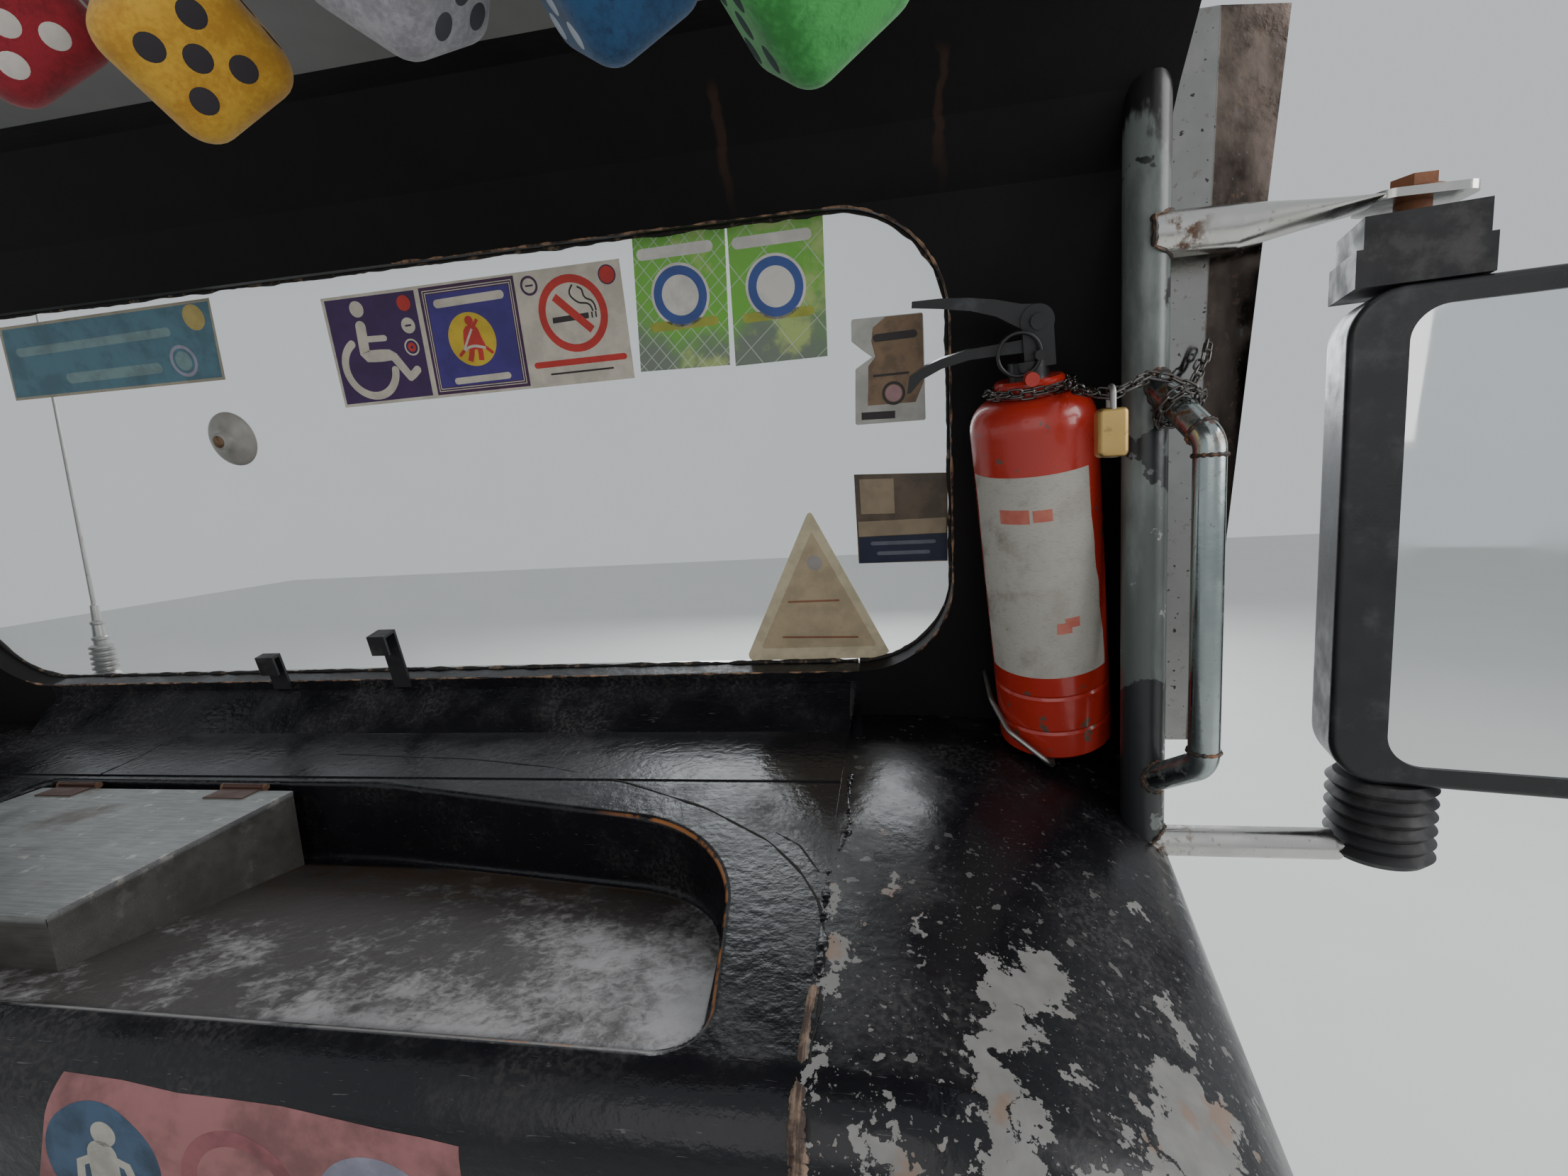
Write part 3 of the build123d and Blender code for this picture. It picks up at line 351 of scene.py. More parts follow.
def largest(masks):
    """Several masks joined into one."""
    return functools.reduce(operator.or_, masks)


def dress(finish, *names):
    """Give CAD nodes a finish in place of the plain one they came with."""
    for name in names:
        made = nodes[name]
        if not made.material_slots:
            made.data.materials.append(finish.material)
        for material_slot in made.material_slots:
            material_slot.material = finish.material


def pair(name):
    """The names of a piece on the right and on the left."""
    return f"{name}_right", f"{name}_left"


# %% [markdown]
# ## Stage
# A pale floor and soft light from large lamps. The cab is open behind and at its sides, so most
# of the light comes in through the windscreen and past the right-hand pillar.

# %% Floor, sky and lamps
floor_tones = (0.60, 0.60, 0.58), (0.66, 0.66, 0.64)
floor_finish = cloudy("stage_floor", (0.62, 0.62, 0.60), 0.8, (3.0,), floor_tones)
floor_mesh = bpy.data.meshes.new("stage_floor")
floor_mesh.from_pydata([(-9, -9, 0), (9, -9, 0), (9, 9, 0), (-9, 9, 0)], [], [(0, 1, 2, 3)])
floor_mesh.materials.append(floor_finish.material)
floor = bpy.data.objects.new("stage_floor", floor_mesh)
bpy.context.collection.objects.link(floor)

world = bpy.data.worlds.new("studio")
world.use_nodes = True
sky = world.node_tree.nodes["Background"].inputs
sky["Color"].default_value = (0.80, 0.84, 0.88, 1.0)
sky["Strength"].default_value = 0.75
bpy.context.scene.world = world

lamp_table = [
    # name, place, aim, size in metres, watts, colour
    ("front_sky", (0.3, 3.4, 2.6), (0.2, -0.3, 0.9), 3.0, 150.0, (0.93, 0.97, 1.0)),
    ("right_side", (3.2, -0.9, 1.9), (0.5, -0.3, 0.8), 2.0, 60.0, (1.0, 1.0, 1.0)),
    ("behind_seat", (0.2, -3.0, 2.0), (0.4, -0.3, 0.8), 2.2, 14.0, (1.0, 0.97, 0.93)),
]
for name, place, aim, size, power, color in lamp_table:
    data = bpy.data.lights.new(name, "AREA")
    data.size, data.energy, data.color = size, power, color
    lamp = bpy.data.objects.new(name, data)
    bpy.context.collection.objects.link(lamp)
    lamp.location = place
    lamp.rotation_euler = (Vector(aim) - Vector(place)).to_track_quat("-Z", "Y").to_euler()
print(len(lamp_table), "lamps")

# %% [markdown]
# ## Paint
# The dash was brushed with black enamel more than once. It is glossy where hands have rubbed
# it, dull with dust elsewhere, and its relief shows brush marks and runs. Three noises at
# different scales carry gloss, dust and relief.


# %% Black enamel
def black_enamel(name, dust=0.5):
    """Near-black paint with cloudy gloss, grey dust, hair scratches and brushed relief."""
    f = Finish(name, (0.012, 0.012, 0.014), 0.3, Specular_IOR_Level=0.36)
    clouds = f.noise(9.0, 6.0, 0.62)
    strokes = f.noise(3.0, 5.0, 0.6, place=f.stretch((6.0, 60.0, 60.0)))
    hairs = f.noise(4.0, 2.0, 0.5, 1.2, place=f.stretch((14.0, 170.0, 170.0), turn=(0.2, 0.4, 0.9)))
    dusty = clouds.band(0.46, 0.72) * f.noise(260.0, 3.0, 0.6).band(0.40, 0.66)
    base = (dusty * dust).mix((0.007, 0.007, 0.009), (0.095, 0.086, 0.080))
    f.paint((hairs.band(0.69, 0.74) * 0.4).mix(base, (0.16, 0.155, 0.15)))
    f.set("Roughness", clouds.band(0.35, 0.68, 0.16, 0.42) + dusty * 0.25)
    f.bump(strokes * 0.22 + f.noise(120.0, 3.0) * 0.9, 0.0010, 0.75)
    return f


enamel = black_enamel("black_enamel")
dress(enamel, "firewall", "base_plate", *pair("quarter_panel"), "binnacle", "column_jacket")
dress(enamel, "windscreen_lower_rail", "dash_ledge", "cab_side_left")
print("enamel on", sum(n.active_material == enamel.material for n in nodes.values()), "nodes")

# %% [markdown]
# Over the right-hand door the enamel has come off in patches with crisp edges, down to grey
# primer and bare steel. The patches are ovals whose edges are pushed about by noise, plus a
# spray of small chips, thicker towards the rear edge. They end a little below the shoulder, and
# its outer edge is worn through.


# %% Peeling enamel on the right-hand shoulder
peeled_ovals = [
    # centre x, centre y, half length in x, half length in y, all in millimetres
    (660, -424, 16, 16), (668, -445, 9, 13), (648, -447, 17, 16), (631, -457, 12, 8), (638, -475, 17, 13),
    (624, -505, 10, 24), (619, -537, 8, 18), (635, -431, 4, 9), (640, -524, 9, 12), (634, -543, 9, 14),
    (531, -397, 5, 13), (538, -442, 8, 15), (533, -468, 5, 12), (569, -545, 11, 9), (572, -566, 14, 14),
    (588, -563, 6, 7), (734, -478, 24, 22), (722, -505, 20, 18), (742, -520, 28, 22), (702, -534, 15, 14),
    (666, -547, 12, 13), (712, -556, 44, 16), (742, -424, 7, 18), (748, -338, 5, 8), (688, -512, 6, 6),
    (670, -492, 5, 5), (592, -412, 4, 7), (569, -376, 5, 7), (532, -520, 5, 20),
]
shoulder = black_enamel("peeling_enamel", 0.45)
x, y, z = shoulder.axes()
wander = shoulder.noise(70.0, 6.0, 0.62)
wander_too = shoulder.noise(62.0, 6.0, 0.62, place=shoulder.stretch((1.0, 1.0, 1.0), (0.3, 0.7, 0.1)))
x_pushed, y_pushed = x.drift(wander, 0.009), y.drift(wander_too, 0.009)
ovals = []
for cx, cy, rx, ry in peeled_ovals:
    dx, dy = (x_pushed - cx / 1000) / (rx / 1000), (y_pushed - cy / 1000) / (ry / 1000)
    ovals.append((dx * dx + dy * dy).below(0.92, 1.04))
chips = shoulder.noise(95.0, 3.0, 0.5).band(0.655, 0.67)
specks = shoulder.noise(330.0, 2.0, 0.5).band(0.66, 0.69) * y.band(-0.36, -0.27, 0.75, 0.1)
patches = largest(ovals) | (chips | specks) * y.band(-0.60, -0.25, 1.0, 0.25)
lower_end = z.drift(wander, 0.04)
patches = patches * lower_end.band(0.525, 0.535)
worn_edge = x.band(0.775, 0.800) * shoulder.noise(45.0, 5.0).band(0.54, 0.58)
patches = patches | worn_edge * lower_end.band(0.60, 0.64) * 0.9
steel = shoulder.noise(70.0, 5.0).mix((0.13, 0.127, 0.12), (0.27, 0.262, 0.25))
rusty = shoulder.noise(26.0, 4.0).band(0.58, 0.66) * 0.5
bare = rusty.mix(steel, (0.23, 0.12, 0.06))
shoulder.paint(patches.mix(shoulder.now("Base Color"), bare))
shoulder.set("Roughness", shoulder.now("Roughness") | patches * 0.55)
shoulder.bump(shoulder.noise(90.0, 3.0) - patches * 1.3, 0.0006, 0.7)
dress(shoulder, "cab_side_right")
print(len(peeled_ovals), "peeled patches")

# %% [markdown]
# The pressing has two faces: glossy enamel outside, and a tray floor that coins and papers have
# rubbed down to grey, with painted shade that darkens it towards the left. The floor is found
# by its height under the tray's rim plane. Close under that plane the right end of the rim
# carries an orange painted reflection and its rear lip a pale painted highlight.

# %% The dash pressing with its rubbed tray floor
rim_y, rim_z, rim_slope = -0.252, 0.69966, 0.13704
dash = black_enamel("dash_enamel", 0.35)
x, y, z = dash.axes()
depth = (y - rim_y) * rim_slope + rim_z - z
upward = dash.axes(dash.add("ShaderNodeNewGeometry", output="Normal"))[2]
floor_area = depth.band(0.002, 0.006) * upward.band(0.93, 0.97) * y.below(-0.2745, -0.266)
# Wear, and painted shade: the x part makes the floor darker to the left, where it lies in shade.
worn = x.band(-0.10, 0.40, -0.04, 0.10) + y.band(-0.50, -0.33, 0.17, -0.02)
cloud = dash.noise(120.0, 5.0, 0.7, 0.6) * 0.6 + (worn + dash.noise(13.0, 5.0, 0.6))
grey = cloud.band(0.88, 1.16).mix((0.046, 0.040, 0.037), (0.26, 0.25, 0.25))
blotches = y.band(-0.36, -0.29) * dash.noise(30.0, 5.0, 0.6).band(0.42, 0.60)
grey = (blotches * 0.8).mix(grey, (0.050, 0.030, 0.018))
behind_roll = y.band(-0.5225, -0.5200)
lip_gaps = y.below(-0.505, -0.49) * dash.noise(26.0, 2.0).below(0.55, 0.60)
# An orange painted reflection along the right end of the tray's rim, just under its plane.
rim_reflection = depth.within(0.0004, 0.0010, 0.0022, 0.0034) * x.band(0.30, 0.37)
rim_reflection = rim_reflection * dash.noise(60.0, 4.0).band(0.36, 0.52) * behind_roll * lip_gaps.rest()
# A pale painted highlight along the tray's rear lip.
lip_highlight = depth.within(0.0002, 0.0006, 0.0026, 0.0040) * (behind_roll * y.below(-0.505, -0.495))
lip_highlight = lip_highlight * dash.noise(18.0, 5.0).band(0.36, 0.50)
painted = (lip_highlight * 0.8).mix(dash.now("Base Color"), (0.27, 0.26, 0.25))
painted = (rim_reflection * 0.9).mix(painted, (0.34, 0.125, 0.035))
rubbed = dash.noise(14.0, 6.0, 0.65).band(0.25, 0.50, 0.75, 1.0)
dash.paint((floor_area * rubbed).mix(painted, grey))
dash.set("Roughness", dash.now("Roughness") | floor_area * 0.5)
dress(dash, "dash_pressing")
print("tray floor rubbed grey")

# %% [markdown]
# The header and the windscreen posts are the same black, but flat, and painted darker than
# the dash as painted shade under the roof. Two thin rust runs come down below the header's
# bolts. The ceiling behind them is dull grey.

# %% Black header in painted shade, grey ceiling, weathered pillars
shaded_frame = Finish("shaded_frame_black", (0.006, 0.005, 0.005), 0.66, Specular_IOR_Level=0.22)
x, _, z = shaded_frame.axes()
runs = []
for bolt_x in (0.455, 0.628):
    away = abs(x.drift(shaded_frame.noise(20.0, 3.0), 0.004) - bolt_x)
    runs.append(away.below(0.0015, 0.0045) * z.band(1.19, 1.24))
runs = largest(runs) * z.below(1.262, 1.272)
# A near-black mottle, darker than the dash's enamel: painted shade.
shaded_mottle = shaded_frame.noise(12.0, 6.0, 0.6).mix((0.003, 0.0026, 0.0028), (0.012, 0.010, 0.010))
shaded_frame.paint((runs * 0.55).mix(shaded_mottle, (0.060, 0.030, 0.018)))
shaded_frame.bump(shaded_frame.noise(140.0), 0.0006, 0.5)
dress(shaded_frame, "windscreen_header", *pair("windscreen_post"))

ceiling_grey = cloudy("ceiling_grey", (0.20, 0.20, 0.195), 0.6, (7.0, 6.0),
                      ((0.13, 0.13, 0.125), (0.27, 0.27, 0.26)), relief=(60.0, 0.0005, 0.4))
dress(ceiling_grey, "ceiling_panel", "roof_bow", *pair("cant_rail"))
roof_paint = cloudy("roof_paint", (0.36, 0.37, 0.36), 0.45, (5.0, 6.0, 0.65),
                    ((0.40, 0.41, 0.40), (0.20, 0.19, 0.175)), (0.42, 0.70), (40.0, 0.0006, 0.3))
dress(roof_paint, "roof_skin")

pillar_paint = Finish("pillar_paint", (0.26, 0.29, 0.27), 0.32)
z = pillar_paint.axes()[2]
grime = pillar_paint.noise(16.0, 6.0, 0.62, place=pillar_paint.stretch((1.0, 1.0, 0.35)))
base = grime.band(0.42, 0.62).mix((0.175, 0.20, 0.185), (0.085, 0.098, 0.090))
low_down = z.below(0.74, 0.86) * 0.22
black_area = (pillar_paint.noise(13.0, 5.0, 0.6) + low_down).band(0.60, 0.615)
base = black_area.mix(base, (0.018, 0.019, 0.020))
chipped = pillar_paint.noise(42.0, 5.0, 0.6).band(0.665, 0.68)
base = chipped.mix(base, (0.26, 0.26, 0.245))
high_up = z.drift(grime, 0.03).band(1.20, 1.215)
pillar_paint.paint(high_up.mix(base, (0.012, 0.010, 0.010)))
pillar_paint.bump(pillar_paint.noise(80.0), 0.0006, 0.5)
dress(pillar_paint, *pair("door_pillar"))
print("header, ceiling and pillars painted")

# %% [markdown]
# ## Metal
# The handles and mirror arms are polished tube with rust creeping out of the welds. The trim
# outside the pillar is polished sheet, speckled with dried road dirt. Past its fold the sheet
# is painted dark: a painted reflection of the dark cab.


# %% Polished, brushed and rusty metal
fold_x, fold_lean = 0.80185, 0.0278


def polished(name, color, roughness, rust_bands=(), speckled=False, rust_from=0.42, fold_reflection=None):
    """Bright metal with fingermarks; rust_bands are (axis, from, to) where rust is thickest.

    The last argument, if given, is a painted dark reflection: the colour past the side trim's
    fold, the line |x| = fold_x + fold_lean * z.
    """
    f = Finish(name, color, roughness, 1.0)
    axes = f.axes()
    smears = f.noise(22.0, 5.0, 0.6)
    f.set("Roughness", smears.band(0.35, 0.70, roughness, roughness + 0.22))
    tone = smears.mix(color, times(color, 0.72))
    if fold_reflection:
        # Past the fold the colour is a painted dark reflection, mottled by noise.
        beyond = (abs(axes[0]) - (axes[2] * fold_lean + fold_x)).band(-0.001, 0.001)
        blotches = f.noise(9.0, 5.0, place=f.stretch((2.0, 2.0, 0.6))).band(0.40, 0.62)
        tone = beyond.mix(tone, blotches.mix(fold_reflection, times(fold_reflection, 2.4)))
    rust = f.noise(150.0, 4.0, 0.6).band(0.62, 0.68) * 0.35
    for axis, start, end in rust_bands:
        near = axes[axis].within(start - 0.02, start, end, end + 0.02)
        rust = rust | near * f.noise(55.0, 5.0, 0.65).band(rust_from, rust_from + 0.12)
    tone = rust.mix(tone, (0.11, 0.055, 0.030))
    if speckled:
        dots = f.noise(210.0, 2.0, 0.4).band(0.70, 0.73)
        tone = dots.mix(tone, (0.03, 0.028, 0.026))
        rust = rust | dots
    f.paint(tone)
    f.set("Metallic", (rust * 0.85).rest())
    f.bump(f.noise(120.0, 3.0), 0.0003, 0.3)
    return f


handle_ends = [(2, 0.985, 1.04), (2, 0.69, 0.725)]
arm_ends = [(0, -0.805, -0.78), (0, 0.78, 0.805)]
tube_metal = polished("handle_tube", (0.42, 0.475, 0.465), 0.14, handle_ends, rust_from=0.50)
arm_metal = polished("mirror_arm", (0.62, 0.61, 0.575), 0.16, arm_ends, rust_from=0.50)
trim_sheet = polished("polished_sheet", (0.33, 0.325, 0.31), 0.09, speckled=True,
                      fold_reflection=(0.034, 0.027, 0.023))
zinc = polished("dull_zinc", (0.42, 0.41, 0.39), 0.38)
rusty_steel = polished("rusty_steel", (0.30, 0.20, 0.13), 0.55, [(2, 0.0, 2.0)])
orange_rust = cloudy("orange_rust", (0.23, 0.085, 0.035), 0.75, (130.0, 5.0),
                     ((0.33, 0.12, 0.045), (0.10, 0.045, 0.025)), relief=(300.0, 0.0004, 0.6))
dress(tube_metal, *pair("grab_handle"))
dress(arm_metal, *pair("mirror_arms"))
dress(trim_sheet, *pair("pillar_trim"), "cowl_top")
dress(orange_rust, *pair("mirror_post"))
dress(zinc, "steering_shaft", "extinguisher_cradle", "dice_wires", "aerial")
dress(rusty_steel, "box_hinges")
print("metal done")

# %% [markdown]
# The money box is bent from thin steel that was never painted. Coins and hands have brushed its
# lid in one direction, and rust has started in the scratches and round the hinges. Its sides are
# painted darker than the lid: painted shade.

# %% Bare steel of the money box
box_steel = Finish("box_steel", (0.30, 0.30, 0.295), 0.4, 0.7)
_, y, z = box_steel.axes()
brushed = box_steel.stretch((12.0, 260.0, 260.0), turn=(0.0, 0.0, 0.5))
fine = box_steel.noise(3.0, 4.0, 0.6, place=brushed)
tone = fine.band(0.35, 0.65).mix((0.25, 0.255, 0.25), (0.34, 0.345, 0.335))
pale = box_steel.noise(46.0, 4.0, 0.6).band(0.60, 0.68)
dark = box_steel.noise(11.0, 5.0, 0.6).band(0.55, 0.70)
hinge_leaf = z.band(0.6969, 0.6972) * y.band(-0.2925, -0.2918)
# The sides below the lid are painted darker than the lid: painted shade.
sides = z.below(0.690, 0.6935)
for mask, share, color in [
    (pale, 0.7, (0.60, 0.58, 0.54)),
    (dark, 0.7, (0.10, 0.075, 0.055)),
    (hinge_leaf, 0.92, (0.090, 0.036, 0.022)),
    (sides, 0.78, (0.075, 0.068, 0.060)),
]:
    tone = (mask * share).mix(tone, color)
box_steel.paint(tone)
box_steel.set("Roughness", box_steel.noise(20.0, 6.0, 0.68).band(0.3, 0.7, 0.30, 0.58))
box_steel.bump(fine, 0.0001, 0.3)
dress(box_steel, "tray_box", "box_lid")
print("money box done")

# %% [markdown]
# ## Glass, rubber and plastic
# The windscreen is clear with a film of dust. Its alpha is low and its surface glossy, which
# lets the light through without the noise of true refraction.

# %% Clear and black materials
clear = cloudy("windscreen_clear", (0.72, 0.80, 0.78), 0.03, (18.0, 6.0),
               ((0.62, 0.70, 0.68), (0.85, 0.90, 0.88)), IOR=1.45, Alpha=0.10)
dress(clear, "windscreen_glass")
silvered = cloudy("silvered_glass", (0.86, 0.88, 0.88), 0.03, (9.0, 4.0),
                  ((0.88, 0.90, 0.90), (0.78, 0.80, 0.80)), metallic=1.0)
silvered.set("Roughness", silvered.noise(14.0, 5.0).band(0.4, 0.75, 0.02, 0.12))
dress(silvered, *pair("mirror_glass"))


def matte_black(name, roughness, grain, pale):
    """Black rubber or plastic: scuffed paler in patches, with a fine moulded grain."""
    tones = (0.014, 0.014, 0.015), pale
    f = cloudy(name, (0.018, 0.018, 0.019), roughness, (28.0, 6.0, 0.66), tones, (0.50, 0.72))
    f.set("Roughness", f.noise(40.0).band(0.3, 0.7, roughness - 0.1, roughness + 0.12))
    f.bump(f.noise(grain, 2.0), 0.0002, 0.4)
    return f


rubber = matte_black("black_rubber", 0.6, 420.0, (0.055, 0.052, 0.050))
plastic = matte_black("black_plastic", 0.36, 700.0, (0.042, 0.044, 0.049))
dress(rubber, "windscreen_seal", "column_collar", "column_bushes", *pair("mirror_boots"), "sign_clips")
dress(plastic, "steering_wheel", "extinguisher_valve", *pair("mirror_housing"))
print("glass, rubber and plastic done")

# %% Gauges and the red bottle
gauge_face = cloudy("gauge_face", (0.02, 0.02, 0.02), 0.2, (60.0, 3.0),
                    ((0.012, 0.012, 0.013), (0.05, 0.05, 0.05)), Coat_Weight=0.6)
dress(gauge_face, "gauges")
red_enamel = Finish("red_enamel", (0.42, 0.012, 0.010), 0.28, Coat_Weight=0.25)
worn = red_enamel.noise(60.0, 5.0, 0.6).band(0.635, 0.66)
faded = red_enamel.noise(9.0, 5.0).mix((0.36, 0.017, 0.011), (0.47, 0.034, 0.019))
red_enamel.paint(worn.mix(faded, (0.13, 0.075, 0.055)))
red_enamel.set("Roughness", red_enamel.noise(24.0, 5.0).band(0.3, 0.7, 0.16, 0.42))
dress(red_enamel, "extinguisher_cylinder")
print("bottle painted")

# %% [markdown]
# ## Thin layers
# Labels and stickers are thin closed slabs. The outer face is a grid of points, the inner face is
# the same grid a little lower, and narrow strips close the rim.


# %% Slabs
def slab(outer, inner, wrap_columns=False, number=0, edges=(0, -1)):
    """Grids of a closed slab: both faces and the strips along the open borders."""
    strips = [np.stack([outer[edge], inner[edge]]) for edge in edges]
    grids = [(grid, False, wrap_columns, number) for grid in (outer, inner, *strips)]
    for edge in () if wrap_columns else (0, -1):
        grids.append((np.stack([outer[:, edge], inner[:, edge]]), False, False, number))
    return grids


# %% [markdown]
# The bottle leans on the windscreen post, so its label is laid out in the bottle's own frame:
# one axis to the left, one up the bottle and one forward. A point of the label is
# foot + h * up + (r + lift) * (cos a * left - sin a * forward), so 90 degrees faces the seats.

# %% The windscreen's and the bottle's own axes
lean, swing = math.atan2(100.0, 434.0), math.radians(5.5)
rightwards = np.array([1.0, 0.0, 0.0])
glass_origin = np.array([0.0, -0.150, 0.979])
glass_up = np.array([0.0, -math.sin(lean), math.cos(lean)])
glass_out = np.array([0.0, math.cos(lean), math.sin(lean)])
glass_rear = 0.026
bottle_radius = 0.051
bottle_up = math.cos(swing) * glass_up - math.sin(swing) * rightwards
bottle_left = np.cross(bottle_up, glass_out)
bottle_foot = glass_origin + 0.727 * rightwards - 0.264 * glass_up - (bottle_radius + 0.001) * glass_out


def on_glass(x, s, depth):
    """Points that far to the right, up the glass and towards the street."""
    return glass_origin + x * rightwards + s * glass_up + depth * glass_out


def bottle_slab(degrees, heights, lift, thickness):
    """Grids of a thin patch that follows the bottle's side."""
    around = ring(bottle_left, -glass_out, np.radians(degrees))
    middle = bottle_foot + heights[..., None] * bottle_up
    outer, inner = (middle + (bottle_radius + k) * around for k in (lift, lift - thickness))
    return slab(outer, inner)


print("bottle axis", bottle_up.round(3), "left", bottle_left.round(3))

# %% Bottle label
label_low, label_high = 0.086, 0.268
label_paper = Finish("label_paper", (0.62, 0.57, 0.48), 0.75)
# Darker towards the post: partly dirt, partly painted shade on the bottle's side by the post.
towards_post = label_paper.axes()[0].band(0.665, 0.71, 0.85, 0.30)
dirt_and_shade = label_paper.noise(26.0, 6.0, 0.65).band(0.44, 0.68) * towards_post
paper = label_paper.noise(12.0, 5.0).mix((0.50, 0.475, 0.425), (0.38, 0.355, 0.31))
paper = dirt_and_shade.mix(paper, (0.20, 0.165, 0.125))
faint = label_paper.noise(6.0, 3.0, 0.6, place=label_paper.stretch((40.0, 40.0, 300.0)))
label_paper.paint(faint.band(0.56, 0.62, 0.0, 0.28).mix(paper, (0.16, 0.15, 0.14)))
label_paper.bump(label_paper.noise(150.0, 3.0), 0.0002, 0.5)
heights = np.linspace(label_low, label_high, 40)
tears = np.random.default_rng(5).uniform(-1.5, 1.5, 17)
ragged = np.interp(heights, np.linspace(0.08, 0.27, 17), tears)
first_angle = 8.0 + ragged
last_angle = 144.0 - 13.0 * (heights - label_low) / (label_high - label_low) + ragged[::-1]
label_angles = first_angle[:, None] + (last_angle - first_angle)[:, None] * np.linspace(0, 1, 60)
piece("bottle_label", bottle_slab(label_angles, heights[:, None], 0.0004, 0.0005), label_paper)

faded_red = cloudy("faded_red_print", (0.38, 0.05, 0.04), 0.7, (80.0, 4.0),
                   ((0.42, 0.04, 0.03), (0.55, 0.25, 0.18)))
print_bars = [
    # first and last angle, lower and upper height
    (45, 73, 0.229, 0.241), (76, 93, 0.230, 0.240), (90, 104, 0.128, 0.138), (98, 112, 0.133, 0.142),
]
print_grids = []
for a, b, low, high in print_bars:
    patch = np.meshgrid(np.linspace(a, b, 16), np.linspace(low, high, 4))
    print_grids += bottle_slab(*patch, 0.0006, 0.0004)
piece("label_print", print_grids, faded_red)

# %% [markdown]
# ## Dice
# Five dice of plastic, flocked like felt, hang corner-down. A cube stands on a corner after a
# turn of 45 degrees about its own Z and of atan(sqrt 2), 54.74 degrees, about X, and then it
# turns about the wire. The pips are shallow matt caps; the table gives each face's number.


# %% Dice
die_edge, die_radius, flock_radius = 0.056, 0.010, 0.013
die_rise = (die_edge / 2 - die_radius) * math.sqrt(3) + die_radius
pip_spread, pip_size = 0.0108, 0.0052
pip_layouts = {
    1: [(0, 0)],
    2: [(-1, -1), (1, 1)],
    3: [(-1, -1), (0, 0), (1, 1)],
    4: [(-1, -1), (-1, 1), (1, -1), (1, 1)],
    5: [(-1, -1), (-1, 1), (0, 0), (1, -1), (1, 1)],
    6: [(-1, -1), (-1, 0), (-1, 1), (1, -1), (1, 0), (1, 1)],
}


def turning(degrees, axis):
    """The matrix of a turn about X (0), Y (1) or Z (2)."""
    c, s = math.cos(math.radians(degrees)), math.sin(math.radians(degrees))
    i, j = [(1, 2), (2, 0), (0, 1)][axis]
    m = np.eye(3)
    m[i, i], m[i, j], m[j, i], m[j, j] = c, -s, s, c
    return m


def pip(face_axis, sign, place):
    """A flat cap on one face of the die, a little proud of it."""
    centre, axis = np.zeros(3), np.zeros(3)
    axis[face_axis] = sign
    centre[[k for k in range(3) if k != face_axis]] = np.array(place) * pip_spread
    profile = [(0, -0.0005), (pip_size, -0.0005), (pip_size, 0.0), (pip_size * 0.8, 0.00022), (0, 0.0003)]
    return lathe(profile, centre + die_edge / 2 * axis, axis, 20)


def die_flock(name, color, deep):
    """Short matt fibres: cloudy colour, a pale sheen at the edges and a fine nap."""
    f = Finish(name, color, 0.85, Sheen_Weight=0.2, Sheen_Roughness=0.5)
    clouds = f.noise(42.0, 5.0, 0.65) * 0.7 + f.noise(420.0, 2.0) * 0.3
    f.paint(clouds.band(0.40, 0.62).mix(color, deep))
    f.bump(f.noise(900.0, 3.0, 0.7), 0.0005, 0.7)
    return f


corner_turn = turning(math.degrees(math.atan(math.sqrt(2))), 0) @ turning(45, 2)
die_faces = [(0, 1), (0, -1), (1, 1), (1, -1), (2, 1), (2, -1)]
dice_table = [
    # name, x, y, lowest z, turn, flock, deep flock, pip colour, numbers on +x -x +y -y +z -z
    ("red", 0.206, -0.560, 1.150, -9, (0.30, 0.011, 0.024), (0.19, 0.006, 0.013),
     (0.62, 0.58, 0.54), (3, 4, 2, 5, 6, 1)),
    ("yellow", 0.292, -0.552, 1.127, -14, (0.58, 0.33, 0.028), (0.43, 0.21, 0.014),
     (0.03, 0.025, 0.03), (3, 4, 2, 5, 1, 6)),
    ("white", 0.405, -0.568, 1.136, 42, (0.34, 0.33, 0.35), (0.21, 0.205, 0.225),
     (0.05, 0.05, 0.06), (6, 1, 2, 5, 3, 4)),
    ("blue", 0.480, -0.546, 1.134, -15, (0.016, 0.080, 0.19), (0.008, 0.038, 0.105),
     (0.52, 0.58, 0.66), (2, 5, 6, 1, 3, 4)),
    ("green", 0.563, -0.574, 1.100, -30, (0.05, 0.31, 0.065), (0.02, 0.19, 0.032),
     (0.03, 0.06, 0.05), (2, 5, 6, 1, 4, 3)),
]
cube = rounded_box([die_edge / 2] * 3, flock_radius)
for name, x, y, tip, turn, color, deep, dots, numbers in dice_table:
    rotation = turning(turn, 2) @ corner_turn
    centre = np.array([x, y, tip + die_rise])
    grids = [(grid @ rotation.T + centre, False, False, 0) for grid in cube]
    for number, face in zip(numbers, die_faces):
        for place in pip_layouts[number]:
            grids.append((pip(*face, place) @ rotation.T + centre, False, True, 1))
    pips = cloudy(f"{name}_pips", dots, 0.85, (300.0, 2.0), (dots, times(dots, 0.8)))
    piece(f"die_{name}", grids, die_flock(f"{name}_flock", color, deep), pips, stands_for=["dice"])

# %% [markdown]
# ## Chain and padlock
# A link is a stadium of wire: two half circles joined by straight runs. Its plane turns by 90
# degrees from one link to the next. Two strands wind about each other round the valve's neck,
# across to the grab handle and round it.

# %% Chain and padlock
link_pitch, link_reach, link_half, link_wire = 0.009, 0.0030, 0.0026, 0.00095
strand_reach, links_per_turn = 0.0019, 7
link_reference = (0.2, 0.3, 1.0)


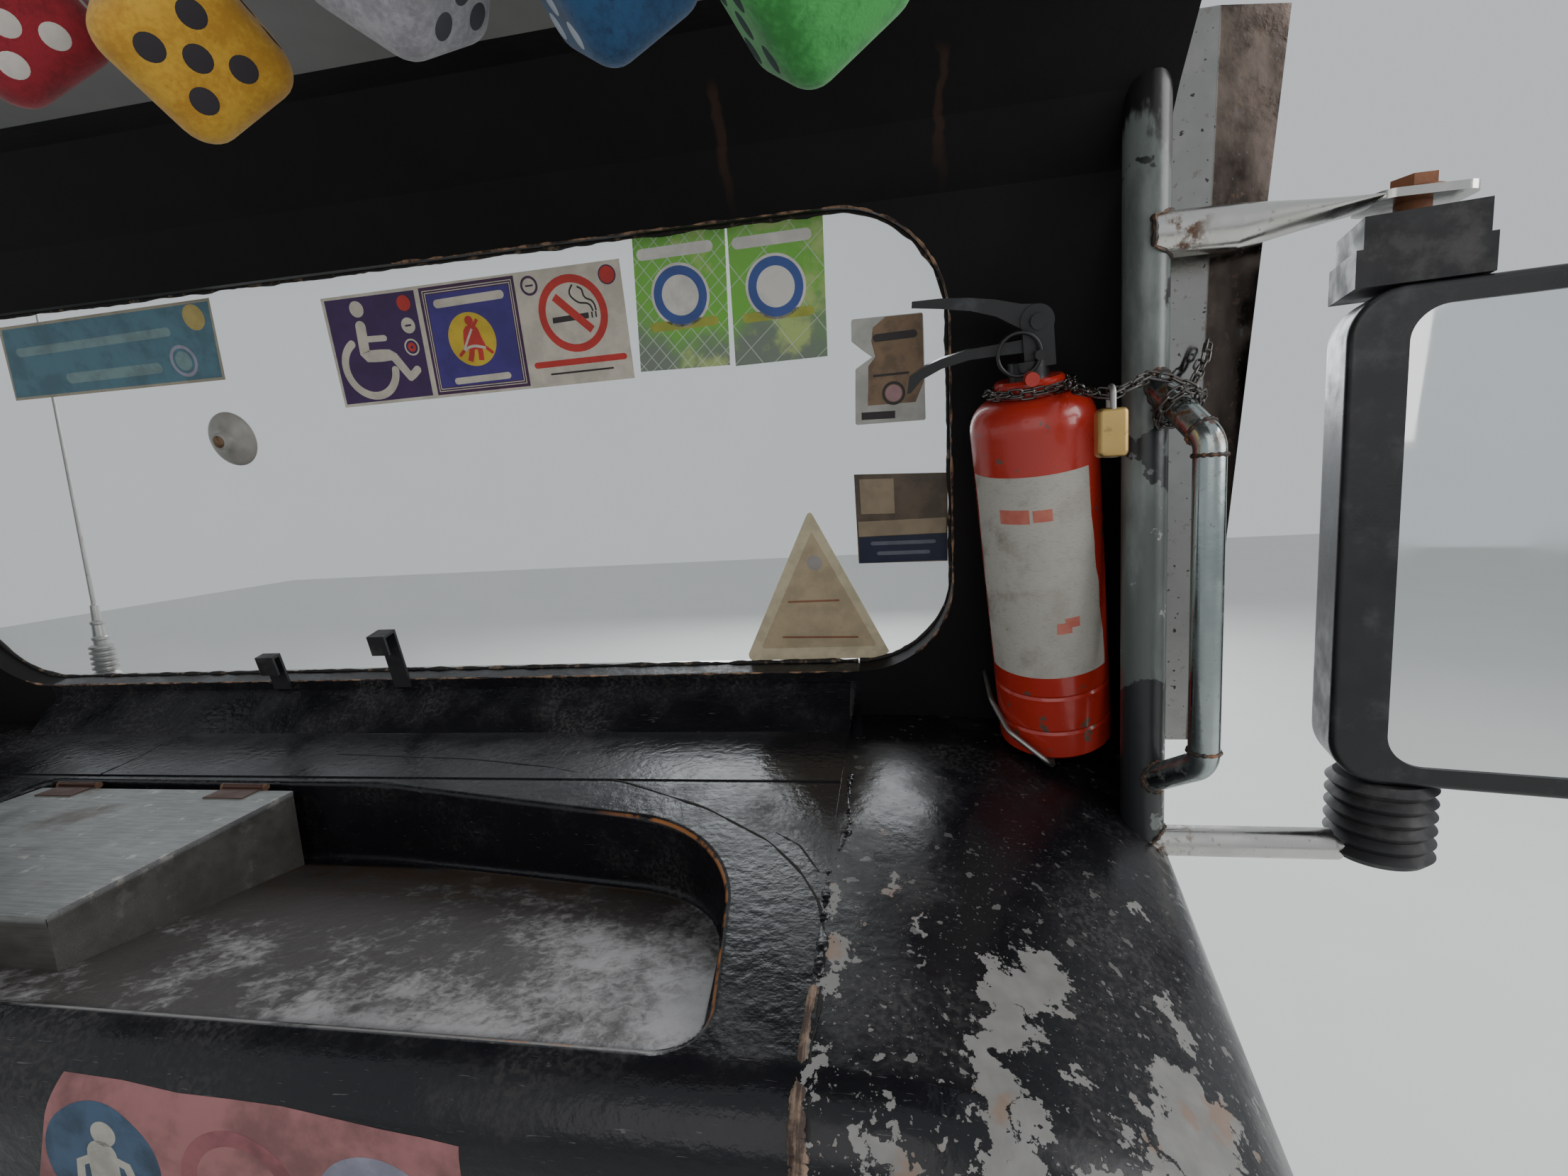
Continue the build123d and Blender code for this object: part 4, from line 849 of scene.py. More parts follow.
def ring_places(centre, normal, start, radius):
    """Evenly spaced places round a circle, and the direction along it at each of them."""
    normal, start = unit(np.array(normal, float)), unit(np.array(start, float))
    start = unit(start - normal * (start @ normal))
    across = np.cross(normal, start)
    a = angles(round(2 * math.pi * radius / link_pitch))
    return centre + radius * ring(start, across, a), ring(across, -start, a)


def span_places(points):
    """Evenly spaced places along straight runs, and the direction of the run at each of them."""
    points = np.array(points)
    lengths = run_lengths(points)
    at = np.arange(0, lengths[-1], link_pitch)
    run = np.clip(np.searchsorted(lengths, at, side="right") - 1, 0, len(points) - 2)
    direction = unit(np.diff(points, axis=0))[run]
    return points[run] + direction * (at - lengths[run])[:, None], direction


def link(centre, along, side, top, turn):
    """Grid of one link whose wire circle follows the stadium's outline."""
    flat, normal = ring(side, top, np.array([turn, turn + math.pi / 2]))
    c, s = circle(angles(28)).T[..., None]
    middle = centre + (np.sign(c) * link_reach + c * link_half) * along + s * link_half * flat
    outward = c * along + s * flat
    return middle[:, None] + link_wire * ring(outward[:, None], normal, angles(8))


chain_parts = [
    ring_places(bottle_foot + 0.331 * bottle_up, bottle_up, bottle_left, 0.033),
    span_places([
        (0.720, -0.238, 1.028), (0.722, -0.262, 1.022), (0.730, -0.281, 1.016), (0.7395, -0.288, 1.0135),
        (0.754, -0.283, 1.019), (0.772, -0.270, 1.026), (0.788, -0.268, 1.022), (0.799, -0.272, 1.014),
    ]),
    ring_places((0.7948, -0.2601, 1.0028), (27, -55, -57), (1, 0, 0.4737), 0.016),
    span_places([
        (0.807, -0.248, 1.017), (0.815, -0.238, 1.029), (0.823, -0.229, 1.040), (0.827, -0.224, 1.052),
    ]),
]
chain_steel = polished("chain_steel", (0.16, 0.15, 0.14), 0.30)
centres, directions = (np.concatenate(rows) for rows in zip(*chain_parts))
chain_grids = []
for i, (centre, along) in enumerate(zip(centres, directions)):
    side, top = side_and_top(along, link_reference)
    for strand in (0, 1):
        round_turn = 2 * math.pi * i / links_per_turn + math.pi * strand
        place = centre + strand_reach * ring(side, top, round_turn)
        turn = math.radians(45 if (i + strand) % 2 else -45)
        chain_grids.append((link(place, along, side, top, turn), True, True))
piece("chain_links", chain_grids, chain_steel, stands_for=["lock_chain"])
print(len(chain_grids), "links in two strands")

brass = polished("brass", (0.62, 0.42, 0.16), 0.28)
lock_centre = np.array([0.7395, -0.288, 0.9865])
shackle_half, shackle_rise = 0.0055, 0.027
keyway_profile = [(0, -0.0178), (0.0045, -0.0178), (0.0045, -0.0170), (0, -0.0170)]
bend = np.linspace(0, np.pi, 17)
shackle = np.stack([0 * bend, -np.cos(bend), np.sin(bend)], axis=-1) * shackle_half + (0, 0, shackle_rise)
shackle = np.concatenate([[(0, -shackle_half, 0.012)], shackle, [(0, shackle_half, 0.012)]])
lock_grids = [(g + lock_centre, False, False, 0) for g in rounded_box((0.0105, 0.0085, 0.0175), 0.004)]
lock_grids += [
    (lathe(keyway_profile, lock_centre, (0, 0, 1), 24), False, True, 1),
    (tube(shackle + lock_centre, 0.0022, 12, (1, 0, 0)), False, True, 1),
]
piece("padlock_body", lock_grids, brass, zinc, stands_for=["padlock"])

# %% Suction cup with its rusty screw
cup_centre = on_glass(-0.1516, 0.0709, glass_rear)
cup_rubber = cloudy("cup_rubber", (0.36, 0.35, 0.32), 0.3, (60.0, 4.0),
                    ((0.42, 0.41, 0.38), (0.22, 0.20, 0.17)), Alpha=0.85)
cup_profile = [(0, 0), (0.030, 0), (0.0296, 0.0008), (0.026, 0.0028), (0.020, 0.0052), (0.0145, 0.0078),
               (0.0105, 0.0110), (0.0092, 0.0150), (0.0092, 0.0170), (0.0070, 0.0182), (0, 0.0184)]
screw_profile = [(0, 0.0175), (0.0062, 0.0175), (0.0066, 0.0188), (0.0050, 0.0198), (0, 0.0199)]
cup_grids = [
    (lathe(cup_profile, cup_centre, -glass_out, 48), False, True, 0),
    (lathe(screw_profile, cup_centre, -glass_out, 24), False, True, 1),
]
piece("cup_with_screw", cup_grids, cup_rubber, rusty_steel, stands_for=["suction_cup"])

# %% [markdown]
# ## Stickers
# Stickers are laid out flat in millimetres, x to the right and s upwards, and then placed on the
# rear face of the glass or on the dash's face and roll. Level 0 is the paper. Each further level
# lies a tenth of a millimetre higher, so that a print never shares a face with its paper.


# %% Flat shapes
roll_radius = 0.042
roll_centre = np.array([0.0, -0.512747, 0.621533])
face_out, face_up = np.array([(0.0, -0.9994, -0.0337), (0.0, -0.0337, 0.9994)])


def glass_place(flat, lift):
    """Points on the glass's rear face, in metres from millimetres."""
    return on_glass(flat[..., :1] / 1000, flat[..., 1:] / 1000, glass_rear - lift)


def dash_place(flat, lift):
    """Points of the dash's face; above s = 0 the face turns into a roll."""
    x, s = flat[..., :1] / 1000, flat[..., 1] / 1000
    normal = ring(face_out, face_up, np.clip(s, 0, None) / roll_radius)
    lower = np.clip(s, None, 0)[..., None] * face_up
    return x * rightwards + roll_centre + (roll_radius + lift) * normal + lower


def layer(place, flat, level, number=0, wrap=False):
    """Grids of a closed slab 0.2 mm thick whose underside is level * 0.1 mm above the surface."""
    edges = [k for k in (0, -1) if np.ptp(flat[k], axis=0).max() > 1e-9]
    return slab(place(flat, 0.0002 + 0.0001 * level), place(flat, 0.0001 * level), wrap, number, edges)


def sheet(corners, rows=2, columns=2):
    """Grid between four corners, given clockwise from the top left one."""
    a, b, c, d = np.array(corners, float)
    u, v = np.linspace(0, 1, columns)[None, :, None], np.linspace(0, 1, rows)[:, None, None]
    return (1 - v) * ((1 - u) * a + u * b) + v * ((1 - u) * d + u * c)


def inset(corners, by):
    """The four corners moved towards the middle by that many millimetres each way."""
    return np.array(corners, float) + by * np.array([(1, -1), (-1, -1), (-1, 1), (1, 1)])


def rows_of(table):
    """Grid of an outline given as rows of (s, left x, right x)."""
    return np.array([[(left, s), (right, s)] for s, left, right in table], float)


def disc(x, s, radius, hole=0.0, rows=2):
    """Rings of points from the hole, or the middle, out to the rim."""
    return (x, s) + np.linspace(hole, radius, rows)[:, None, None] * circle(angles(44))


def stroke(points, width, rounded=True):
    """Band along a path, half the width to each side; rounded ends follow r * cos(phi)."""
    p = np.array(points, float)
    half = np.broadcast_to(np.array(width) / 2, (len(p),))
    along = unit(np.gradient(p, axis=0))
    if rounded:
        phi = np.linspace(0, np.pi / 2, 6)[1:, None]
        first = p[0] - along[0] * half[0] * np.sin(phi)
        last = p[-1] + along[-1] * half[-1] * np.sin(phi)
        caps = np.cos(phi[:, 0])
        half = np.r_[half[0] * caps[::-1], half, half[-1] * caps]
        p = np.concatenate([first[::-1], p, last])
        along = np.concatenate([np.repeat(along[:1], 5, 0), along, np.repeat(along[-1:], 5, 0)])
    side = np.stack([-along[:, 1], along[:, 0]], axis=-1) * half[:, None]
    return np.stack([p + side, p - side], axis=1)


def printed(name, color, shade=0.78, rough=0.42, scale=40.0):
    """Printed vinyl: one colour with cloudy fading."""
    return cloudy(name, color, rough, (scale, 6.0, 0.6), (color, times(color, shade)), (0.38, 0.66))


def sticker(name, finishes, shapes, rounds=(), place=glass_place, rows=2):
    """One mesh from rows (shape, level, finish) and (x, s, radius, hole, level, finish)."""
    grids = []
    for flat, level, finish, *wrap in shapes:
        grids += layer(place, flat, level, finishes.index(finish), bool(wrap))
    for x, s, radius, hole, level, finish in rounds:
        grids += layer(place, disc(x, s, radius, hole, rows), level, finishes.index(finish), True)
    piece(name, grids, *finishes)


cream = printed("print_cream", (0.66, 0.60, 0.50))
white = printed("print_white", (0.74, 0.71, 0.66))
red = printed("print_red", (0.60, 0.035, 0.025))
black = printed("print_black", (0.03, 0.02, 0.02))
print("shapes ready")

# %% [markdown]
# Three squares share one cream strip: a wheelchair on purple, a belted figure on violet, and a
# crossed-out cigarette, with plain bars above and below them.

# %% Three square signs
purple = printed("print_purple", (0.050, 0.012, 0.095))
plum = printed("print_plum", (0.065, 0.012, 0.070))
violet = printed("print_violet", (0.055, 0.030, 0.240))
yellow = printed("print_yellow", (0.72, 0.50, 0.03))
signs = [cream, purple, plum, violet, yellow, red, black]
strip_corners = [(9.5, 201.9), (333.3, 205.5), (329.8, 96.8), (0.8, 93.5)]
purple_corners = [(12.9, 199.2), (114.9, 199.8), (106.9, 98.0), (4.0, 96.5)]
violet_corners = [(120.3, 200.7), (223.4, 202.1), (217.9, 98.4), (112.8, 97.5)]
wheel_centre, wheel_radius = (44, 131), 28.3
wheel = wheel_centre + wheel_radius * circle(np.radians(np.linspace(119, 351, 40)))
sitting = [(45.9, 171.5), (44.6, 162), (43.2, 152), (42.6, 146), (45, 142.6), (52, 142.2), (62, 142.0),
           (70, 141.8), (74.5, 139.5), (79, 132), (87.2, 118.6)]
sitting_width = [11.5, 11.5, 11.5, 12, 12, 12, 12, 11, 9.5, 9, 8.5]
torso = [(162.0, 164.2, 169.0), (160.5, 161, 172.5), (157.5, 158.3, 174.6), (150, 156.5, 176.2),
         (143, 155.6, 178.5), (138.5, 157.0, 178.8)]
smoke = smooth_path([(281.5, 187.5), (277.6, 183), (277.4, 178.5), (281.5, 174.3), (286, 170.8),
                     (293, 170.6), (297.2, 168.5), (298.4, 163.2)], 26, 4)
smoke_too = smooth_path([(287, 185.5), (291.3, 183), (291.2, 177.5), (293.5, 174.3), (299, 172.6),
                         (301.4, 168.5), (301.8, 163.5)], 26, 4)
lap_belt = smooth_path([(155.4, 138.4), (160, 141.4), (168, 142.2), (178.6, 139.2)], 9, 1)
shapes = [
    # shape, level, colour
    (sheet(strip_corners), 0, cream),
    (sheet(purple_corners), 1, purple),
    (sheet(violet_corners), 1, plum),
    (sheet(inset(violet_corners, 7.0)), 2, violet),
    (stroke(sitting, sitting_width), 2, cream),
    (stroke(smooth_path([(87.0, 119.5), (88.5, 118.6), (97.0, 124.8)], 7, 1), 8.0), 3, cream),
    (stroke([(47, 159.0), (58, 158.8), (69, 158.5)], 6.0), 3, cream),
    (stroke(wheel, 8.0), 3, cream),
    (rows_of(torso), 4, red),
    (stroke([(163.5, 140), (161.5, 134), (158.8, 127.8)], 5.6, False), 5, red),
    (stroke([(172.0, 140), (171.8, 134), (171.0, 127.8)], 5.6, False), 5, red),
    (stroke([(149.4, 134.4), (153, 137.4), (156.5, 140)], 3.2), 5, red),
    (stroke([(176.5, 141), (180.5, 138.2), (184.4, 134.6)], 3.2), 5, red),
    (stroke([(167.6, 158.0), (171.6, 162.3), (175.6, 166.6)], 3.4, False), 5, red),
    (stroke([(154.6, 139.0), (161, 148.5), (167.8, 158.2)], 2.3, False), 6, cream),
    (stroke(lap_belt, 2.6, False), 7, cream),
    (stroke([(261.2, 178.8), (278, 162.3), (294.8, 145.8)], 7.6, False), 2, red),
    (sheet([(255.6, 160.2), (293.6, 161.8), (293.2, 156.4), (255.2, 154.9)]), 1, black),
    (sheet([(296.3, 162.0), (297.8, 162.0), (297.6, 156.6), (296.1, 156.6)]), 1, black),
    (sheet([(300.4, 162.2), (301.9, 162.2), (301.7, 156.8), (300.2, 156.8)]), 1, black),
    (stroke(smoke, 1.7), 1, black),
    (stroke(smoke_too, 1.7), 1, black),
    (stroke([(229.5, 117.2), (276, 117.8), (322.5, 118.4)], 6.0), 1, red),
    (stroke([(243, 107.6), (276, 108.0), (309, 108.4)], 1.8), 1, black),
    (stroke([(137, 184.6), (172, 185.8), (206, 186.8)], 8.0), 3, cream),
    (stroke([(139, 109.6), (167, 110.2), (196, 110.8)], 6.5), 3, cream),
    (stroke([(234.6, 191.2), (238, 191.3), (241.4, 191.4)], 1.6), 1, plum),
    (stroke([(96.8, 167.8), (99.5, 167.9), (102.2, 168.0)], 1.8), 3, plum),
]
rounds = [
    # centre, radius, hole, level, colour
    (46.8, 188.3, 7.8, 0, 2, cream),
    (165.9, 148.4, 25.8, 0, 3, yellow),
    (166.6, 166.2, 4.5, 0, 4, red),
    (277.7, 162.0, 35.6, 28.2, 1, red),
    (237.9, 191.3, 9.0, 6.7, 1, plum),
    (318.6, 193.2, 8.8, 0, 1, plum),
    (318.6, 193.2, 7.6, 0, 2, red),
    (100.8, 189.0, 8.4, 0, 2, plum),
    (100.8, 189.0, 7.4, 0, 3, red),
    (99.5, 167.9, 7.6, 0, 2, cream),
    (97.3, 147.1, 8.2, 6.6, 2, cream),
    (97.3, 147.1, 4.4, 1.6, 2, red),
]
for offset in (3.0, 5.2):
    border = np.stack([inset(violet_corners, offset), inset(violet_corners, offset + 0.8)])
    shapes.append((border, 2, cream, "closed"))
sticker("three_signs", signs, shapes, rounds)

# %% [markdown]
# The other stickers face the street, so the seats see their backs: plain discs, rings and bars in
# faded colours.

# %% Stickers that face the street
back_beige = printed("back_beige", (0.40, 0.36, 0.27))
back_teal = printed("back_teal", (0.085, 0.20, 0.26), 0.7)
back_yellow = printed("back_yellow", (0.52, 0.40, 0.12))
back_lilac = printed("back_lilac", (0.34, 0.33, 0.42))
back_pale_teal = printed("back_pale_teal", (0.20, 0.31, 0.32), 0.7)
teal_corners = [(-397, 212), (-118.6, 215.7), (-133.4, 134.1), (-417.8, 134.2)]
sticker(
    "teal_sticker", [back_beige, back_teal, back_yellow, back_lilac, back_pale_teal],
    [(sheet(teal_corners), 0, back_beige), (sheet(inset(teal_corners, 3.0)), 1, back_teal),
     (stroke([(-383, 184), (-280, 186), (-184, 188)], 9.0), 2, back_pale_teal),
     (stroke([(-330, 152), (-280, 152.5), (-212, 153)], 11.0), 2, back_pale_teal)],
    [(-144.9, 199.0, 13.0, 0, 2, back_yellow), (-176.4, 157.4, 16.5, 13.0, 2, back_lilac),
     (-176.4, 157.4, 10.0, 0, 2, back_pale_teal)],
)


def leaf_green(name, line_gap):
    """Clear film: bright green at the top, fading to a grey veil, crossed by white diagonals."""
    f = Finish(name, (0.2, 0.5, 0.05), 0.25, Alpha=0.82)
    x, _, z = f.axes()
    high = z.drift(f.noise(14.0), 0.03).band(1.085, 1.145)
    tone = high.mix((0.19, 0.23, 0.17), (0.17, 0.50, 0.03))
    tone = f.noise(22.0, 5.0, 0.6).band(0.50, 0.66).mix(tone, (0.46, 0.58, 0.18))
    lines = largest([(x + z * slope).fold(line_gap).below(0.0004, 0.0008) for slope in (0.72, -1.25)])
    f.paint((lines * 0.55).mix(tone, (0.70, 0.74, 0.66)))
    return f


back_blue = printed("back_blue", (0.05, 0.10, 0.34))
back_olive = printed("back_olive", (0.42, 0.44, 0.06))
for word, corners, (x, s), line_gap in [
    ("first", [(349, 222.4), (438, 222.4), (428, 100.7), (337, 102)], (387.8, 167.8), 0.0075),
    ("second", [(440, 222.4), (527.9, 222.4), (523.3, 100.6), (433.4, 99.2)], (479.7, 166.2), 0.020),
]:
    leaf = leaf_green(f"leaf_green_{word}", line_gap)
    sticker(
        f"green_sticker_{word}", [leaf, white, back_blue, back_olive],
        [(sheet(corners), 0, leaf),
         (stroke([(x - 30, 141.5), (x, 142), (x + 30, 142.5)], 8.5), 1, back_olive),
         (stroke([(x - 32, 206), (x, 206.5), (x + 32, 207)], 10.0), 1, white)],
        [(x, s, 28.5, 0, 1, white), (x, s, 26.0, 18.0, 2, back_blue)],
    )

film_grey = printed("film_grey", (0.50, 0.49, 0.45))
back_brown = printed("back_brown", (0.27, 0.17, 0.095), 0.6, scale=60.0)
back_rose = printed("back_rose", (0.45, 0.25, 0.26))
sticker(
    "tan_sticker", [film_grey, back_brown, black, white, back_rose],
    [(rows_of([(131, 548.5, 612), (129, 547.3, 613.1), (111.5, 546.5, 613.3), (103, 556, 613.3),
               (95.9, 564.9, 613.3), (91, 556.5, 613.2), (86.2, 548.7, 613.2), (60, 547, 613.1),
               (35.5, 545.7, 613.1), (34, 547, 612)]), 0, film_grey),
     (rows_of([(130.3, 579, 612.4), (122, 567, 612.4), (110, 565, 612.4), (96, 568, 612.4),
               (88, 561, 612.4), (70, 560, 612.2), (51.5, 558.5, 604)]), 1, back_brown),
     (stroke([(570, 112.5), (588, 113), (604, 113.5)], 7.0), 2, black),
     (stroke([(566, 78.6), (582, 78.9), (598, 79.2)], 2.2), 2, black),
     (sheet([(552.2, 45.5), (584.5, 44.9), (584.2, 37.8), (551.9, 38.4)]), 1, black)],
    [(583.7, 61.4, 11.0, 8.4, 2, black), (583.7, 61.4, 7.6, 0, 2, back_rose)],
)

back_umber = printed("back_umber", (0.145, 0.105, 0.070), 0.6)
back_sand = printed("back_sand", (0.36, 0.28, 0.18))
back_navy = printed("back_navy", (0.018, 0.024, 0.055))
back_slate = printed("back_slate", (0.15, 0.16, 0.20))
sticker(
    "dark_sticker", [back_umber, back_sand, back_navy, back_slate],
    [(sheet([(541.1, -14.6), (632.9, -18.5), (631.5, -110.4), (540.4, -109.2)]), 0, back_umber),
     (sheet([(546, -20), (580, -21), (580, -57), (546, -56)]), 1, back_sand),
     (rows_of([(-64, 542.5, 630.5), (-80, 542.3, 630.3)]), 1, back_sand),
     (rows_of([(-80.5, 541.8, 631.0), (-109, 541.5, 630.8)]), 1, back_navy),
     (stroke([(556, -88), (585, -88.3), (618, -88.6)], 4.0), 2, back_slate),
     (stroke([(562, -99), (585, -99.2), (612, -99.4)], 4.0), 2, back_slate)],
)

tri_cream = printed("tri_cream", (0.72, 0.62, 0.42))
tri_tan = printed("tri_tan", (0.56, 0.45, 0.29))
tri_lilac = printed("tri_lilac", (0.42, 0.38, 0.36))
tri_rust = printed("tri_rust", (0.36, 0.16, 0.09))
sticker(
    "triangle_sticker", [tri_cream, tri_tan, tri_lilac, tri_rust],
    [(rows_of([(-51.5, 491.5, 494.5), (-55, 489.0, 496.5), (-212, 410, 567.5), (-217, 410.5, 563),
               (-220, 413, 552)]), 0, tri_cream),
     (rows_of([(-73, 492.4, 493.8), (-203, 426.5, 553.5), (-205.5, 428.5, 551.5)]), 1, tri_tan),
     (stroke([(462, -150), (490, -150), (516, -150)], 2.4), 2, tri_rust),
     (stroke([(452, -192), (490, -193), (534, -194)], 2.4), 2, tri_rust)],
    [(493.6, -106.3, 8.2, 0, 2, tri_lilac)],
)

# %% Faded pink safety sticker on the dash
dash_pink = printed("dash_pink", (0.30, 0.125, 0.125), 0.55, 0.7, 26.0)
dash_blue = printed("dash_blue", (0.045, 0.085, 0.145), 0.5, 0.7)
dash_rose = printed("dash_rose", (0.26, 0.085, 0.095), 0.6, 0.7)
dash_grey_blue = printed("dash_grey_blue", (0.24, 0.235, 0.30), 0.7, 0.7)
dash_ivory = printed("dash_ivory", (0.38, 0.36, 0.31), 0.7, 0.7)
pink_top = np.array([(87, 27), (130, 25.5), (169, 22), (205, 21.5), (239, 20.5), (270, 17.5),
                     (300, 14.5), (325, 12.5), (347, 10)])
pink_low = np.array([(52, -66), (90, -69), (128, -72), (166, -75), (204, -78), (242, -80),
                     (280, -83), (312, -85), (344, -88)])
fall = np.linspace(0, 1, 40)[:, None, None]
sticker(
    "dash_sticker", [dash_pink, dash_blue, dash_rose, dash_grey_blue, dash_ivory],
    [((1 - fall) * pink_top + fall * pink_low, 0, dash_pink),
     (stroke([(113, -21), (112, -36), (111, -53)], 21.0), 2, dash_ivory),
     (stroke([(92, -47), (96, -27), (113, -20), (129, -27), (133, -46)], 6.0), 3, dash_ivory)],
    [(112, -26, 40, 0, 1, dash_blue), (204, -33, 38, 28, 1, dash_rose),
     (291, -40, 38, 0, 1, dash_grey_blue), (117.5, -6, 8.5, 0, 2, dash_ivory)],
    dash_place, 18,
)

# %% [markdown]
# ## Seams, putty and welds
# The sheet over the dash ends in a thin crack, a row of small welds joins it to the cab side,
# and the rear half of that joint is filled with brown putty. Each is a tube half sunk in the
# surface, of radius r(t) = r0 (1 + rough * noise(t)), pressed flat.


# %% Rough tubes
def shaken(count, width, seed):
    """Seeded noise, averaged over a few neighbours so that it swells instead of spiking."""
    raw = np.random.default_rng(seed).normal(size=count + width - 1)
    return np.convolve(raw, np.ones(width) / width, "valid")


def rough_line(name, points, radius, flat, finish, rough, count, seed, wander=0.0, width=4, thin=1.0):
    """A tube along a smoothed path in millimetres; it starts thin, and its radius and course are shaken."""
    path = smooth_path(np.array(points) / 1000, count, 4)
    path[:, 0] += wander * shaken(count, 7, seed + 40)
    radii = radius * np.maximum(1 + rough * 2 * shaken(count, width, seed), 0.3)
    radii *= np.interp(np.linspace(0, 1, count), [0, 0.26, 0.42], [thin, thin, 1.0])
    piece(name, [(tube(path, radii, 10, flat=flat), False, True)], finish)


crack_black = cloudy("crack_black", (0.004, 0.004, 0.004), 0.8, (90.0,),
                     ((0.003, 0.003, 0.003), (0.014, 0.011, 0.009)))
putty = Finish("putty", (0.16, 0.11, 0.075), 0.75)
grit = putty.noise(110.0, 6.0, 0.68)
drawn = putty.noise(9.0, 5.0, 0.65, place=putty.stretch((34.0, 3.0, 3.0)))
putty.paint((grit * 0.4 + drawn * 0.6).band(0.42, 0.60).mix((0.050, 0.030, 0.022), (0.24, 0.165, 0.115)))
putty.bump(grit + drawn, 0.0010, 0.7)

sheet_lap = [
    (-27.9, -195.7, 705.0), (137.9, -205.9, 704.3), (233.7, -222.6, 703.1), (326.6, -251.1, 699.9),
    (412.2, -289.2, 694.6), (474.8, -332.5, 688.6), (504.4, -366.7, 683.9), (522.3, -398.5, 679.6),
    (528.9, -427.1, 675.6), (529, -459, 671.3),
]
short_crack = [(479.4, -322.2, 690.0), (500.4, -337.4, 687.9), (518.9, -367.8, 683.8)]
left_joint = [(-286, -171.8, 706.7), (-277.3, -197.0, 704.9), (-275.2, -228.3, 702.7), (-275, -245, 701.5)]
weld_row = [
    (532.7, -230.1, 701.4), (534.4, -286.0, 693.9), (536.5, -307.8, 691.0), (531.2, -342.9, 686.4),
    (525.5, -365.8, 683.4), (527, -420, 676.3), (529, -462, 670.9),
]
rear_joint = [
    (527, -470, 669.8), (525.6, -487, 667.4), (525, -512, 664.0), (526, -534, 656.8), (527, -545, 649.0),
    (527.4, -551.8, 637), (527.4, -554.6, 620), (527.4, -553.8, 590), (527.4, -552.8, 560),
]
crack_beside = [(x + 5.2, y, z + 0.3) for x, y, z in rear_joint]
rough_line("sheet_lap", sheet_lap, 0.0010, 0.6, crack_black, 0.25, 160, 2)
rough_line("short_crack", short_crack, 0.0008, 0.5, crack_black, 0.3, 40, 3)
rough_line("left_joint", left_joint, 0.0011, 0.6, crack_black, 0.3, 40, 4)
rough_line("weld_row", weld_row, 0.0021, 0.55, enamel, 0.55, 150, 5, 0.0012)
rough_line("putty_bead", rear_joint, 0.0058, 0.45, putty, 0.26, 160, 6, 0.0010, 11, 0.42)
rough_line("putty_crack", crack_beside, 0.0013, 0.7, crack_black, 0.4, 120, 7, 0.0010)

# %% [markdown]
# The glass is bedded in crumbling sealant. Its bead follows the opening, a rectangle of
# 1270 x 445 mm with corners of 100 mm. A thinner line of rust marks the frame's own rear edge.


# %% Sealant round the windscreen
opening_half_x, opening_half_s, corner_radius = 0.635, 0.2227, 0.100


def opening_path(grow, depth, start, end, count):
    """Points on the rounded rectangle, between two shares of the way round from the right foot."""
    radius = corner_radius + grow
    inner_x, inner_s = opening_half_x - corner_radius, opening_half_s - corner_radius
    flat = []
    for sign_x, sign_s, turn in [(1, -1, -90), (1, 1, 0), (-1, 1, 90), (-1, -1, 180)]:
        quarter = np.radians(np.linspace(turn, turn + 90, 24))
        flat.append((sign_x * inner_x, sign_s * inner_s) + radius * circle(quarter))
    closed = np.concatenate([*flat, flat[0][:1]])
    x, s = at_shares(closed, np.linspace(start, end, count)).T[..., None]
    return on_glass(x, s, depth)


def bead(name, grow, depth, start, end, radius, finish, rough, seed, count):
    """A rough bead along part of the opening."""
    radii = radius * np.maximum(1 + rough * 2 * shaken(count, 3, seed), 0.25)
    path = opening_path(grow, depth, start, end, count)
    piece(name, [(tube(path, radii, 8, glass_out), False, True)], finish)


sealant = cloudy("sealant", (0.05, 0.04, 0.032), 0.8, (75.0, 5.0, 0.65),
                 ((0.018, 0.015, 0.013), (0.19, 0.135, 0.090)), (0.54, 0.66), (160.0, 0.0008, 0.6))
edge_rust = cloudy("edge_rust", (0.20, 0.10, 0.05), 0.7, (60.0, 5.0, 0.65),
                   ((0.030, 0.018, 0.014), (0.34, 0.20, 0.12)), (0.42, 0.62))
bead("glass_bedding", -0.0008, 0.0248, 0.0, 0.9995, 0.0021, sealant, 0.24, 11, 620)
bead("frame_edge", 0.0002, 0.0006, 0.02, 0.30, 0.0011, edge_rust, 0.3, 12, 260)
bead("frame_foot", 0.0002, 0.0006, 0.66, 0.998, 0.0009, edge_rust, 0.3, 13, 260)

# %% [markdown]
# The grab handles and mirror arms are welded to the round pillar. For each angle a round the
# arm, a line along the arm is followed until it meets the pillar: |p + t d - c|^2 = R^2 in the
# plane of x and y, and the smaller t is the first touch. The bead runs round those points.


# %% Weld beads round the arms
pillar_centre, pillar_radius = np.array([0.780, -0.230]), 0.017


